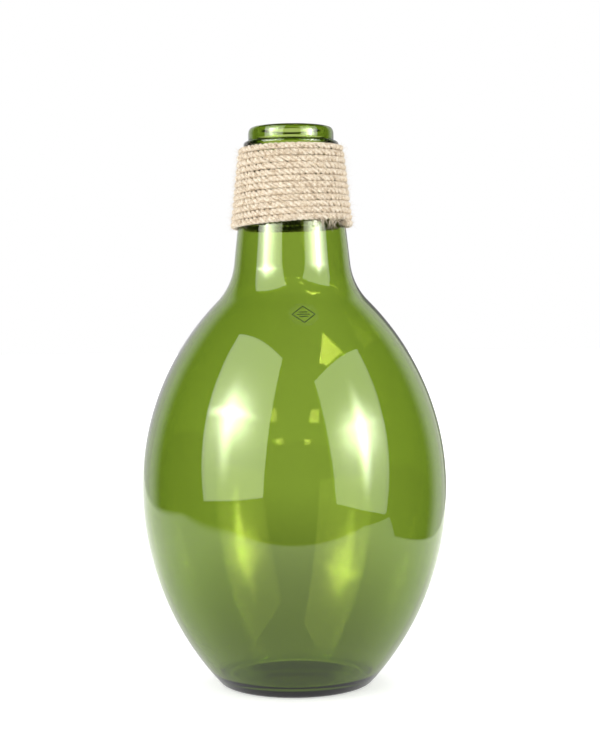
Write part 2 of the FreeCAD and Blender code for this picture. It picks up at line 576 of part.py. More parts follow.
def make_label(doc, d, o):
    """The clear label: a thin film that lies on the upper body, below the shoulder curve, cut round."""
    outer = "outer_profile.Constraints"
    share = f"{outer}.upper_radius / ({outer}.upper_radius + dims.shoulder_radius * 1mm)"
    rise = f"({outer}.shoulder_centre - dims.belly_height * 1mm)"
    middle = f"dims.belly_height * 1mm + {share} * {rise} - dims.label_drop * 1mm"
    level = o.upper[1] + o.upper_radius * math.sin(o.upper_end) - d.label_drop
    face_radius = o.upper_radius + d.label_film
    half = d.label_diameter / 2

    body, plane = new_body(doc, "film_strip")
    sketch = new_sketch(body, plane, "film_profile")
    back_low, back_high = (level_angle(o, o.upper_radius, level + s * half) for s in (-1, 1))
    face_low, face_high = (level_angle(o, face_radius, level + s * half) for s in (-1, 1))
    back = add_arc(sketch, o.upper, o.upper_radius, back_low, back_high)
    face = add_arc(sketch, o.upper, face_radius, face_low, face_high)
    base = [polar(o.upper, o.upper_radius, back_low), polar(o.upper, face_radius, face_low)]
    low = add_line(sketch, *base)
    top = [polar(o.upper, o.upper_radius, back_high), polar(o.upper, face_radius, face_high)]
    high = add_line(sketch, *top)
    join(sketch, (low, START, back, START), (low, END, face, START))
    join(sketch, (high, START, back, END), (high, END, face, END), (face, CENTRE, back, CENTRE))
    for line in (low, high):
        sketch.addConstraint(Sketcher.Constraint("Horizontal", line))
    origin = (ORIGIN, START)
    arc_radius = f"{outer}.upper_radius"
    inset = f"{arc_radius} - dims.belly_radius * 1mm"
    measure(sketch, "Radius", "back_radius", (back,), arc_radius)
    measure(sketch, "Radius", "face_radius", (face,), f"{arc_radius} + dims.label_film * 1mm")
    measure(sketch, "DistanceX", "centre", (back, CENTRE, *origin), inset)
    measure(sketch, "DistanceY", "centre_height", (*origin, back, CENTRE), "dims.belly_height")
    measure(sketch, "DistanceY", "low", (*origin, low, START), f"{middle} - dims.label_diameter / 2 * 1mm")
    measure(sketch, "DistanceY", "high", (*origin, high, START), f"{middle} + dims.label_diameter / 2 * 1mm")
    strip = turn_about_axis(body, "Revolution", "film", sketch)
    strip.Midplane = True
    strip.Angle = FILM_SECTOR
    body.Placement = Placement(Vector(), Rotation(Vector(0, 0, 1), d.label_angle))

    tilt = level_angle(o, o.upper_radius, level)
    radius, height = polar(o.upper, o.upper_radius, tilt)
    out = Rotation(Vector(0, 0, 1), d.label_angle).multVec(Vector(math.cos(tilt), 0, math.sin(tilt)))
    centre = Rotation(Vector(0, 0, 1), d.label_angle).multVec(Vector(radius, 0, height))
    die = doc.addObject("Part::Cylinder", "label_die")
    die.setExpression("Radius", "dims.label_diameter / 2")
    die.setExpression("Height", "dims.label_diameter")
    die.Placement = Placement(centre - out * half, Rotation(Vector(0, 0, 1), out))
    doc.recompute()
    label = doc.addObject("Part::Common", "clear_label")
    label.Label = "clear_label"
    label.Base, label.Tool = body, die
    doc.recompute()
    return label


def level_angle(o, radius, height):
    """Where a circle about the centre of the body's upper arc reaches a height, in radians."""
    return math.asin((height - o.upper[1]) / radius)


def check(doc, parts):
    """Stops the script if any object failed or a sub-part's shape is empty or not valid."""
    for item in doc.Objects:
        if "Invalid" in item.State or "Error" in item.State:
            raise ValueError(f"{item.Name} failed: {item.State}")
        if item.TypeId == "Sketcher::SketchObject" and not item.FullyConstrained:
            print(f"{item.Name} is not fully constrained")
    for part in parts:
        if part.Shape.isNull() or not part.Shape.isValid() or not part.Shape.Solids:
            raise ValueError(f"{part.Label} has no valid solid")


def main():
    doc = FreeCAD.newDocument("carboy")
    d = read_sheet(make_sheet(doc))
    o = outline(d)
    parts = [make_bottle(doc, d, o), make_rope(doc, d, o), make_glue(doc, d, o), make_label(doc, d, o)]
    doc.recompute()
    check(doc, parts)
    os.makedirs("parts", exist_ok=True)
    for part in parts:
        part.Shape.exportStep(os.path.join("parts", f"{part.Label}.step"))
        box = part.Shape.BoundBox
        solids, volume = len(part.Shape.Solids), part.Shape.Volume
        print(f"{part.Label}: {solids} solid(s), {volume:.1f} mm3, z {box.ZMin:.2f} to {box.ZMax:.2f}")


main()
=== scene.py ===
"""Looks of a blown glass carboy with a rope-wound neck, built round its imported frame.

Everything is in metres. +Z runs up the bottle's axis, -Y is the front, and angles round the axis are
counted from +X towards +Y.
"""

import logging
import math
from dataclasses import dataclass
from enum import Enum

import bpy
import numpy as np
from mathutils import Matrix, Vector


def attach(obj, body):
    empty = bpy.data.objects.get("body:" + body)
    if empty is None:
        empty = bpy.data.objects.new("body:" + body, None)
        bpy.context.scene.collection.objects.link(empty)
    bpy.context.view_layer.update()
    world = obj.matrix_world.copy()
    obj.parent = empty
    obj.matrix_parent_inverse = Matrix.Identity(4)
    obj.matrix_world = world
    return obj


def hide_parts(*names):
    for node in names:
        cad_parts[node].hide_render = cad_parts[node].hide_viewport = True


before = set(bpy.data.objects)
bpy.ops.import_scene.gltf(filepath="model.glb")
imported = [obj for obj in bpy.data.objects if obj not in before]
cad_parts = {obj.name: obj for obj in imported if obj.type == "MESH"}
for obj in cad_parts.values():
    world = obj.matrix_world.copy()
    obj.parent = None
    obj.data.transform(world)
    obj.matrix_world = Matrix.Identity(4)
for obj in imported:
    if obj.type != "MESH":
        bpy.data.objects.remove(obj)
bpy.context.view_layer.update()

log = logging.getLogger("carboy")
MM = 0.001
FULL_TURN = 2 * math.pi
BODY = "root"
WHITE = (1.0, 1.0, 1.0, 1.0)

Colour = tuple[float, float, float]
Spot = tuple[float, float, float]
Flat = tuple[float, float]
Span = tuple[float, float]
Skin = tuple[np.ndarray, np.ndarray, np.ndarray]
Stops = list[tuple[float, Colour]]


# ---------------------------------------------------------------- shader maths


class Wire:
    """A shader socket that takes part in sums as a number does."""

    def __init__(self, shader: "Shader", socket: bpy.types.NodeSocket) -> None:
        """Wraps a socket of a shader's tree."""
        self.shader = shader
        self.socket = socket

    def _maths(self, operation: str, first: "Wire | float", second: "Wire | float") -> "Wire":
        """Adds a Math node.

        Args:
            operation: the Math node's operation.
            first: its first value.
            second: its second value.

        Returns:
            The node's result.
        """
        node = self.shader.node("ShaderNodeMath", {"operation": operation}, {0: first, 1: second})
        return Wire(self.shader, node.outputs[0])

    def __add__(self, other: "Wire | float") -> "Wire":
        """self + other."""
        return self._maths("ADD", self, other)

    __radd__ = __add__

    def __mul__(self, other: "Wire | float") -> "Wire":
        """self * other."""
        return self._maths("MULTIPLY", self, other)

    __rmul__ = __mul__

    def __sub__(self, other: "Wire | float") -> "Wire":
        """self - other."""
        return self._maths("SUBTRACT", self, other)

    def __rsub__(self, other: "Wire | float") -> "Wire":
        """other - self."""
        return self._maths("SUBTRACT", other, self)

    def __gt__(self, other: "Wire | float") -> "Wire":
        """1 where self is greater than other, and 0 elsewhere."""
        return self._maths("GREATER_THAN", self, other)

    def __abs__(self) -> "Wire":
        """self without its sign."""
        return self._maths("ABSOLUTE", self, 0.0)

    def at_least(self, other: "Wire | float") -> "Wire":
        """The greater of self and other."""
        return self._maths("MAXIMUM", self, other)

    def split(self) -> list["Wire"]:
        """The three parts of a vector: X, Y and Z."""
        node = self.shader.node("ShaderNodeSeparateXYZ", sockets={0: self})
        return [Wire(self.shader, output) for output in node.outputs]

    def reach(self) -> "Wire":
        """The length of a vector."""
        return self.shader.wire("ShaderNodeVectorMath", "Value", {"operation": "LENGTH"}, {0: self})

    def ramp(self, low: float, high: float) -> "Wire":
        """A smooth step from 0 at low to 1 at high.

        Args:
            low: the value that gives 0.
            high: the value that gives 1.

        Returns:
            The stepped value.
        """
        settings = {"interpolation_type": "SMOOTHSTEP"}
        sockets = {"Value": self, "From Min": low, "From Max": high}
        return self.shader.wire("ShaderNodeMapRange", 0, settings, sockets)


class Ray(Enum):
    """Kinds of ray: which depth of the Light Path tells them, and the number that it passes."""

    REFLECTED = ("Glossy Depth", 0.5)
    THROUGH_GLASS = ("Transmission Depth", 0.5)
    OFF_FAR_WALL = ("Transmission Depth", 3.5)


class Shader:
    """A node tree under construction, for a material or a world."""

    def __init__(self, owner: "bpy.types.Material | bpy.types.World") -> None:
        """Takes over the owner's tree and clears it.

        Args:
            owner: the material or the world.
        """
        owner.use_nodes = True
        self.owner = owner
        self.tree = owner.node_tree
        self.tree.nodes.clear()

    def node(self, kind: str, settings: dict | None = None, sockets: dict | None = None) -> bpy.types.Node:
        """Adds a node.

        Args:
            kind: the node's type.
            settings: its own settings, set first; "stops" holds a ramp's (position, colour) pairs.
            sockets: values or Wires for its inputs, by name or by number.

        Returns:
            The node.
        """
        node = self.tree.nodes.new(kind)
        for name, value in (settings or {}).items():
            if name == "stops":
                self._stops(node.color_ramp, value)
            else:
                setattr(node, name, value)
        for name, value in (sockets or {}).items():
            if isinstance(value, Wire):
                self.tree.links.new(value.socket, node.inputs[name])
            else:
                node.inputs[name].default_value = value
        return node

    @staticmethod
    def _stops(ramp: bpy.types.ColorRamp, stops: Stops) -> None:
        """Gives a ramp its stops.

        Args:
            ramp: the ramp.
            stops: the position and colour of each.
        """
        while len(ramp.elements) < len(stops):
            ramp.elements.new(1.0)
        for element, (position, colour) in zip(ramp.elements, stops):
            element.position = position
            element.color = (*colour, 1.0)

    def wire(
        self, kind: str, output: str | int, settings: dict | None = None, sockets: dict | None = None
    ) -> Wire:
        """Adds a node and returns one of its outputs."""
        return Wire(self, self.node(kind, settings, sockets).outputs[output])

    def met_by(self, ray: Ray) -> Wire:
        """1 for rays of a kind, and 0 for others."""
        depth, passed = ray.value
        return self.wire("ShaderNodeLightPath", depth) > passed

    def noise(self, vector: Wire, scale: float, detail: float = 2.0, roughness: float = 0.5) -> Wire:
        """Noise from 0 to 1 over a vector.

        Args:
            vector: where to read it.
            scale: cells in each unit of the vector.
            detail: octaves.
            roughness: weight of the finer octaves.

        Returns:
            The noise.
        """
        sockets = {"Vector": vector, "Scale": scale, "Detail": detail, "Roughness": roughness}
        return self.wire("ShaderNodeTexNoise", "Fac", sockets=sockets)

    def coordinates(self, kind: str, stretch: Spot = (1.0, 1.0, 1.0)) -> Wire:
        """The Object or UV coordinates, stretched along each axis."""
        source = self.wire("ShaderNodeTexCoord", kind)
        return self.wire("ShaderNodeMapping", "Vector", sockets={"Vector": source, "Scale": stretch})

    def vectors(self, operation: str, first: Wire, second: Spot) -> Wire:
        """Vector Math on a vector and three numbers."""
        return self.wire("ShaderNodeVectorMath", 0, {"operation": operation}, {0: first, 1: second})

    def colours(self, factor: Wire, stops: Stops) -> Wire:
        """A colour ramp."""
        return self.wire("ShaderNodeValToRGB", "Color", {"stops": stops}, {"Fac": factor})

    def tint(self, colour: Wire, factor: Wire, other: Colour) -> Wire:
        """Colour, moved towards another one by a factor."""
        node = self.node("ShaderNodeMix", {"data_type": "RGBA"}, {0: factor, 6: colour, 7: (*other, 1.0)})
        return Wire(self, node.outputs[2])

    def bump(self, height: Wire, distance: float, strength: float = 1.0) -> Wire:
        """A normal that follows a height, whose full range is a distance in metres."""
        sockets = {"Height": height, "Distance": distance, "Strength": strength}
        return self.wire("ShaderNodeBump", "Normal", sockets=sockets)

    def emission(self, colour: "Wire | tuple", strength: "Wire | float") -> bpy.types.Node:
        """A shader node that gives off light."""
        return self.node("ShaderNodeEmission", sockets={"Color": colour, "Strength": strength})

    def mixed(self, first: bpy.types.Node, second: bpy.types.Node, factor: Wire) -> bpy.types.Node:
        """Mixes two shader nodes.

        Args:
            first: what shows at factor 0.
            second: what shows at factor 1.
            factor: the share of the second.

        Returns:
            The mixing node.
        """
        node = self.node("ShaderNodeMixShader", sockets={0: factor})
        self.tree.links.new(first.outputs[0], node.inputs[1])
        self.tree.links.new(second.outputs[0], node.inputs[2])
        return node

    def finish(self, surface: bpy.types.Node, volume: bpy.types.Node | None = None) -> None:
        """Ends the tree.

        Args:
            surface: the shader node of its surface.
            volume: the shader node of its inside, if it has one.
        """
        world = isinstance(self.owner, bpy.types.World)
        output = self.node("ShaderNodeOutputWorld" if world else "ShaderNodeOutputMaterial")
        self.tree.links.new(surface.outputs[0], output.inputs["Surface"])
        if volume:
            self.tree.links.new(volume.outputs[0], output.inputs["Volume"])

    def principled(self, **sockets: "Wire | float | tuple") -> bpy.types.Node:
        """A Principled shader node, with its inputs named with _ for spaces."""
        named = {name.replace("_", " "): value for name, value in sockets.items()}
        return self.node("ShaderNodeBsdfPrincipled", sockets=named)


# ---------------------------------------------------------------- finishes


class Finish:
    """A finish: each kind paints its own tree."""

    name = ""

    def paint(self, shader: Shader) -> None:
        """Fills in the finish's node tree."""
        raise NotImplementedError

    def dress(self, *pieces: bpy.types.Object) -> None:
        """Makes the finish's material and gives it to pieces, in place of any they have.

        Args:
            pieces: the pieces.
        """
        shader = Shader(bpy.data.materials.new(self.name))
        self.paint(shader)
        for piece in pieces:
            piece.data.materials.clear()
            piece.data.materials.append(shader.owner)


@dataclass(frozen=True)
class GreenGlass(Finish):
    """Clear olive-green bottle glass, tinted a little at its faces and mostly in its thickness."""

    name: str = "green_glass"
    face: Colour = (0.85, 0.93, 0.62)
    body: Colour = (0.565, 0.655, 0.075)
    density: float = 290.0
    ior: float = 1.52

    def paint(self, shader: Shader) -> None:
        """Smooth glass whose thickness absorbs light.

        Args:
            shader: the finish's node tree.
        """
        face = shader.principled(
            Base_Color=(*self.face, 1.0), Transmission_Weight=1.0, Roughness=0.0, IOR=self.ior
        )
        sockets = {"Color": (*self.body, 1.0), "Density": self.density}
        shader.finish(face, shader.node("ShaderNodeVolumeAbsorption", sockets=sockets))


@dataclass(frozen=True)
class Jute(Finish):
    """Natural jute, with fibres that run along the piece's own U direction."""

    name: str = "jute"
    fleck: Colour = (0.24, 0.15, 0.08)
    dark: Colour = (0.36, 0.25, 0.15)
    middle: Colour = (0.74, 0.6, 0.43)
    pale: Colour = (0.94, 0.86, 0.72)
    streak_grain: Spot = (260.0, 11.0, 1.0)
    fibre_grain: Spot = (900.0, 34.0, 1.0)
    patch_grain: float = 420.0
    fibre_depth: float = 0.6 * MM

    def paint(self, shader: Shader) -> None:
        """Fibre streaks, patches of paler and darker yarn and stray dark flecks.

        Args:
            shader: the finish's node tree.
        """
        along = shader.coordinates("UV", self.streak_grain)
        streaks = shader.noise(along, 1.0, 4.0, 0.65)
        fibres = shader.noise(shader.coordinates("UV", self.fibre_grain), 1.0, 3.0, 0.6)
        patches = shader.noise(shader.coordinates("Object"), self.patch_grain, 3.0, 0.7)
        flecks = shader.noise(along, 2.3, 2.0).ramp(0.66, 0.74)
        shade = (streaks * 0.35 + fibres * 0.25 + patches * 0.4).ramp(0.39, 0.6)
        colour = shader.colours(shade, [(0.0, self.dark), (0.35, self.middle), (1.0, self.pale)])
        shader.finish(
            shader.principled(
                Base_Color=shader.tint(colour, flecks * 0.4, self.fleck),
                Roughness=streaks * 0.2 + 0.75,
                Sheen_Weight=0.25,
                Sheen_Roughness=0.5,
                Specular_IOR_Level=0.25,
                Normal=shader.bump(streaks * 0.6 + fibres * 0.4, self.fibre_depth),
            )
        )


@dataclass(frozen=True)
class LooseFibre(Finish):
    """Single jute fibres, paler than the rope because light passes them."""

    name: str = "jute_fibre"
    dark: Colour = (0.62, 0.5, 0.34)
    pale: Colour = (0.88, 0.8, 0.64)

    def paint(self, shader: Shader) -> None:
        """Patches of two shades.

        Args:
            shader: the finish's node tree.
        """
        shade = shader.noise(shader.coordinates("Object"), 700.0, 1.0).ramp(0.35, 0.65)
        colour = shader.colours(shade, [(0.0, self.dark), (1.0, self.pale)])
        shader.finish(shader.principled(Base_Color=colour, Roughness=0.7, Specular_IOR_Level=0.3))


@dataclass(frozen=True)
class HotMelt(Finish):
    """Set hot-melt glue: milky amber, smooth, with a slightly lumpy face."""

    name: str = "hot_melt"
    amber: Colour = (0.62, 0.54, 0.38)
    milky: Colour = (0.74, 0.68, 0.54)

    def paint(self, shader: Shader) -> None:
        """Lumps that are paler and rougher where they stand higher.

        Args:
            shader: the finish's node tree.
        """
        lumps = shader.noise(shader.coordinates("Object"), 260.0, 2.0)
        colour = shader.colours(lumps.ramp(0.3, 0.7), [(0.0, self.amber), (1.0, self.milky)])
        bump = shader.bump(lumps, 0.3 * MM, 0.6)
        shader.finish(shader.principled(Base_Color=colour, Roughness=lumps * 0.2 + 0.25, Normal=bump))


@dataclass(frozen=True)
class ClearFilm(Finish):
    """Clear label film: mostly see-through, with a faint sheen and milky adhesive."""

    name: str = "label_film"
    colour: Colour = (0.3, 0.38, 0.18)
    ior: float = 1.46

    def paint(self, shader: Shader) -> None:
        """A thin haze that varies a little.

        Args:
            shader: the finish's node tree.
        """
        haze = shader.noise(shader.coordinates("Object"), 420.0, 2.0).ramp(0.3, 0.7)
        shader.finish(
            shader.principled(
                Base_Color=(*self.colour, 1.0),
                Roughness=haze * 0.1 + 0.12,
                Alpha=haze * 0.02 + 0.02,
                IOR=self.ior,
            )
        )


@dataclass(frozen=True)
class LabelInk(Finish):
    """Dark green print that thins out in places."""

    name: str = "label_ink"
    full: Colour = (0.012, 0.03, 0.008)
    worn: Colour = (0.03, 0.07, 0.018)

    def paint(self, shader: Shader) -> None:
        """Ink that is paler and more see-through where it is worn.

        Args:
            shader: the finish's node tree.
        """
        wear = shader.noise(shader.coordinates("Object"), 900.0, 2.0).ramp(0.35, 0.7)
        colour = shader.colours(wear, [(0.0, self.full), (1.0, self.worn)])
        shader.finish(shader.principled(Base_Color=colour, Roughness=0.45, Alpha=0.9 - wear * 0.15))


# ---------------------------------------------------------------- surfaces


def unit(vectors: np.ndarray) -> np.ndarray:
    """Vectors along the last axis, each divided by its length."""
    return vectors / np.linalg.norm(vectors, axis=-1, keepdims=True)


def square_to(vectors: np.ndarray, along: np.ndarray) -> np.ndarray:
    """Unit vectors: each vector less its share along a unit direction."""
    return unit(vectors - (vectors * along).sum(-1, keepdims=True) * along)


def off_axis(points: np.ndarray) -> np.ndarray:
    """Level unit directions from the bottle's axis to points."""
    return unit(points * np.array([1.0, 1.0, 0.0]))


def distances(line: np.ndarray) -> np.ndarray:
    """How far along a line of points each one lies."""
    return np.concatenate([[0.0], np.cumsum(np.linalg.norm(np.diff(line, axis=0), axis=1))])


def round_turn(count: int) -> np.ndarray:
    """Evenly spaced angles of one turn, without its end."""
    return np.linspace(0.0, FULL_TURN, count, endpoint=False)


def arc(centre: Flat, radius: float, first: float, last: float, count: int) -> np.ndarray:
    """Points of a circle: centre + radius * (cos angle, sin angle), angles evenly from first to last.

    Args:
        centre: the circle's centre.
        radius: its radius.
        first: first angle in radians.
        last: last angle in radians.
        count: number of points.

    Returns:
        An array of (count, 2).
    """
    angle = np.linspace(first, last, count)
    return np.stack([centre[0] + radius * np.cos(angle), centre[1] + radius * np.sin(angle)], 1)


def straight(start: Flat, end: Flat, count: int) -> np.ndarray:
    """Evenly spaced points from start to end, as (count, 2)."""
    share = np.linspace(0.0, 1.0, count)[:, None]
    return np.array(start) * (1 - share) + np.array(end) * share


def heading(start: "Flat | np.ndarray", end: "Flat | np.ndarray") -> float:
    """The direction from one point to another, in radians."""
    return math.atan2(end[1] - start[1], end[0] - start[0])


def rounded(before: Flat, corner: Flat, after: Flat, radius: float, count: int) -> np.ndarray:
    """The arc of a radius that touches both sides of a corner.

    Args:
        before: a point on the first side.
        corner: where the sides would meet.
        after: a point on the second side.
        radius: the arc's radius.
        count: number of points.

    Returns:
        An array of (count, 2), from the first side to the second.
    """
    c = np.array(corner)
    back, ahead = unit(np.array(before) - c), unit(np.array(after) - c)
    half = math.acos(float(np.clip(back @ ahead, -1, 1))) / 2
    middle = c + unit(back + ahead) * radius / math.sin(half)
    touch = radius / math.tan(half)
    first, last = heading(middle, c + back * touch), heading(middle, c + ahead * touch)
    last = first + (last - first + math.pi) % FULL_TURN - math.pi
    return arc(tuple(middle), radius, first, last, count)


def melted(line: np.ndarray, step: float, spread: float) -> np.ndarray:
    """A line with its corners softened as a flame softens glass: resampled evenly, then each point
    becomes the average of its neighbours, weighted by a bell curve. The two ends stay.

    Args:
        line: points, as (n, 2).
        step: spacing of the new points.
        spread: the bell curve's standard deviation.

    Returns:
        The new points.
    """
    run = distances(line)
    at = np.linspace(0.0, run[-1], int(run[-1] / step) + 1)
    even = np.stack([np.interp(at, run, line[:, i]) for i in (0, 1)], 1)
    reach = int(3 * spread / step) + 1
    bell = np.exp(-0.5 * (np.arange(-reach, reach + 1) * step / spread) ** 2)
    bell /= bell.sum()
    head = 2 * even[0] - even[reach:0:-1]
    tail = 2 * even[-1] - even[-2 : -reach - 2 : -1]
    padded = np.concatenate([head, even, tail])
    return np.stack([np.convolve(padded[:, i], bell, "valid") for i in (0, 1)], 1)


def grid_faces(rows: int, columns: int, closed: bool = True) -> np.ndarray:
    """Quads of a grid whose vertex number is row * columns + column.

    Args:
        rows: number of rows.
        columns: number of columns.
        closed: whether the last column joins the first.

    Returns:
        An array of (n, 4) vertex numbers.
    """
    i = np.arange(rows - 1)[:, None]
    j = np.arange(columns if closed else columns - 1)[None, :]
    j2 = (j + 1) % columns
    corners = [i * columns + j, i * columns + j2, (i + 1) * columns + j2, (i + 1) * columns + j]
    return np.stack([c.ravel() for c in corners], 1)


def fan(hub: int, first: int, around: int) -> np.ndarray:
    """Triangles from a hub to each side of a closed ring.

    Args:
        hub: the hub's vertex number.
        first: the ring's first vertex number.
        around: number of vertices in the ring.

    Returns:
        An array of (around, 3) vertex numbers, which run the ring's own way round.
    """
    here = np.arange(around)
    return np.stack([first + here, first + (here + 1) % around, np.full(around, hub)], 1)


def capped(rings: np.ndarray, start: np.ndarray, end: np.ndarray) -> Skin:
    """A closed skin over a stack of rings, with a fan from the first and from the last ring to a point.

    Args:
        rings: points, as (rings, around, 3).
        start: the point that closes the first ring.
        end: the point that closes the last ring.

    Returns:
        Points, quads and triangles.
    """
    rows, around = rings.shape[:2]
    size = rows * around
    points = np.concatenate([rings.reshape(-1, 3), [start, end]])
    ends = [fan(size, 0, around)[:, ::-1], fan(size + 1, size - around, around)]
    return points, grid_faces(rows, around), np.concatenate(ends)


def make_mesh(
    name: str,
    points: np.ndarray,
    quads: np.ndarray,
    triangles: np.ndarray | None = None,
    smooth: bool = True,
) -> bpy.types.Object:
    """Makes a mesh object from arrays.

    Args:
        name: the object's name.
        points: vertices, as (n, 3), in metres.
        quads: faces of four, as (m, 4) vertex numbers.
        triangles: faces of three, if there are any.
        smooth: whether the faces are smooth shaded.

    Returns:
        The object, linked to the scene.
    """
    extra = np.zeros((0, 3), int) if triangles is None else triangles
    mesh = bpy.data.meshes.new(name)
    mesh.vertices.add(len(points))
    mesh.vertices.foreach_set("co", np.ascontiguousarray(points, np.float32).ravel())
    corners = np.concatenate([quads.ravel(), extra.ravel()]).astype(np.int32)
    totals = np.concatenate([np.full(len(quads), 4), np.full(len(extra), 3)]).astype(np.int32)
    mesh.loops.add(len(corners))
    mesh.loops.foreach_set("vertex_index", corners)
    mesh.polygons.add(len(totals))
    mesh.polygons.foreach_set("loop_start", (np.cumsum(totals) - totals).astype(np.int32))
    mesh.polygons.foreach_set("loop_total", totals)
    mesh.polygons.foreach_set("use_smooth", np.full(len(totals), smooth))
    mesh.update(calc_edges=True)
    mesh.validate()
    piece = bpy.data.objects.new(name, mesh)
    bpy.context.scene.collection.objects.link(piece)
    return piece


def map_vertices(mesh: bpy.types.Mesh, flat: np.ndarray) -> None:
    """Gives a mesh a UV map.

    Args:
        mesh: the mesh.
        flat: the (u, v) of each vertex, as (n, 2).
    """
    vertex = np.zeros(len(mesh.loops), np.int32)
    mesh.loops.foreach_get("vertex_index", vertex)
    layer = mesh.uv_layers.new(name="flat")
    layer.data.foreach_set("uv", flat[vertex].astype(np.float32).ravel())


def tube(path: np.ndarray, outward: np.ndarray, radii: np.ndarray) -> Skin:
    """A closed tube along a path: point + radius * (cos a * side + sin a * other side) at each station,
    where the side is outward made square to the path.

    Args:
        path: stations, as (n, 3).
        outward: a direction at each station, as (n, 3).
        radii: the radius at each station and angle, as (n, sides).

    Returns:
        Points, quads and triangles.
    """
    along = unit(np.gradient(path, axis=0))
    side = square_to(outward, along)[:, None, :]
    other = np.cross(along, side[:, 0])[:, None, :]
    angle = round_turn(radii.shape[1])[None, :, None]
    rings = path[:, None, :] + radii[:, :, None] * (np.cos(angle) * side + np.sin(angle) * other)
    return capped(rings, path[0], path[-1])


def bent_hairs(
    roots: np.ndarray,
    lean: np.ndarray,
    bend: np.ndarray,
    long: np.ndarray,
    thickness: "float | np.ndarray",
    stations: int,
) -> Skin:
    """Many three-sided hairs at once, each thinning from its root to about a third and bending as it
    leaves: root + length * (t * lean + t squared * bend).

    Args:
        roots: where each starts, as (n, 3).
        lean: the unit direction that each starts in, as (n, 3).
        bend: how each bends, as (n, 3), in shares of its length.
        long: their lengths.
        thickness: radius at the root, for all of them or for each.
        stations: number of stations along each.

    Returns:
        Points, quads and triangles.
    """
    count, sides, tip, skew = len(roots), 3, 0.35, np.array([0.31, 0.52, 0.8])
    share = np.linspace(0.0, 1.0, stations)[None, :, None]
    bow = share * lean[:, None, :] + share**2 * bend[:, None, :]
    centre = roots[:, None, :] + long[:, None, None] * bow
    along = unit(np.gradient(centre, axis=1))
    side = unit(np.cross(along, skew))
    other = np.cross(along, side)
    taper = np.linspace(1.0, tip, stations)[None, :, None]
    taper = np.broadcast_to(thickness, (count,))[:, None, None] * taper
    rings = [centre + taper * (math.cos(a) * side + math.sin(a) * other) for a in round_turn(sides)]
    points = np.stack(rings, 2).reshape(-1, 3)
    offset = (np.arange(count) * stations * sides)[:, None, None]
    quads = (grid_faces(stations, sides)[None] + offset).reshape(-1, 4)
    last = (stations - 1) * sides
    ends = np.array([[2, 1, 0], [last, last + 1, last + 2]])
    return points, quads, (ends[None] + offset).reshape(-1, 3)


# ---------------------------------------------------------------- the glass


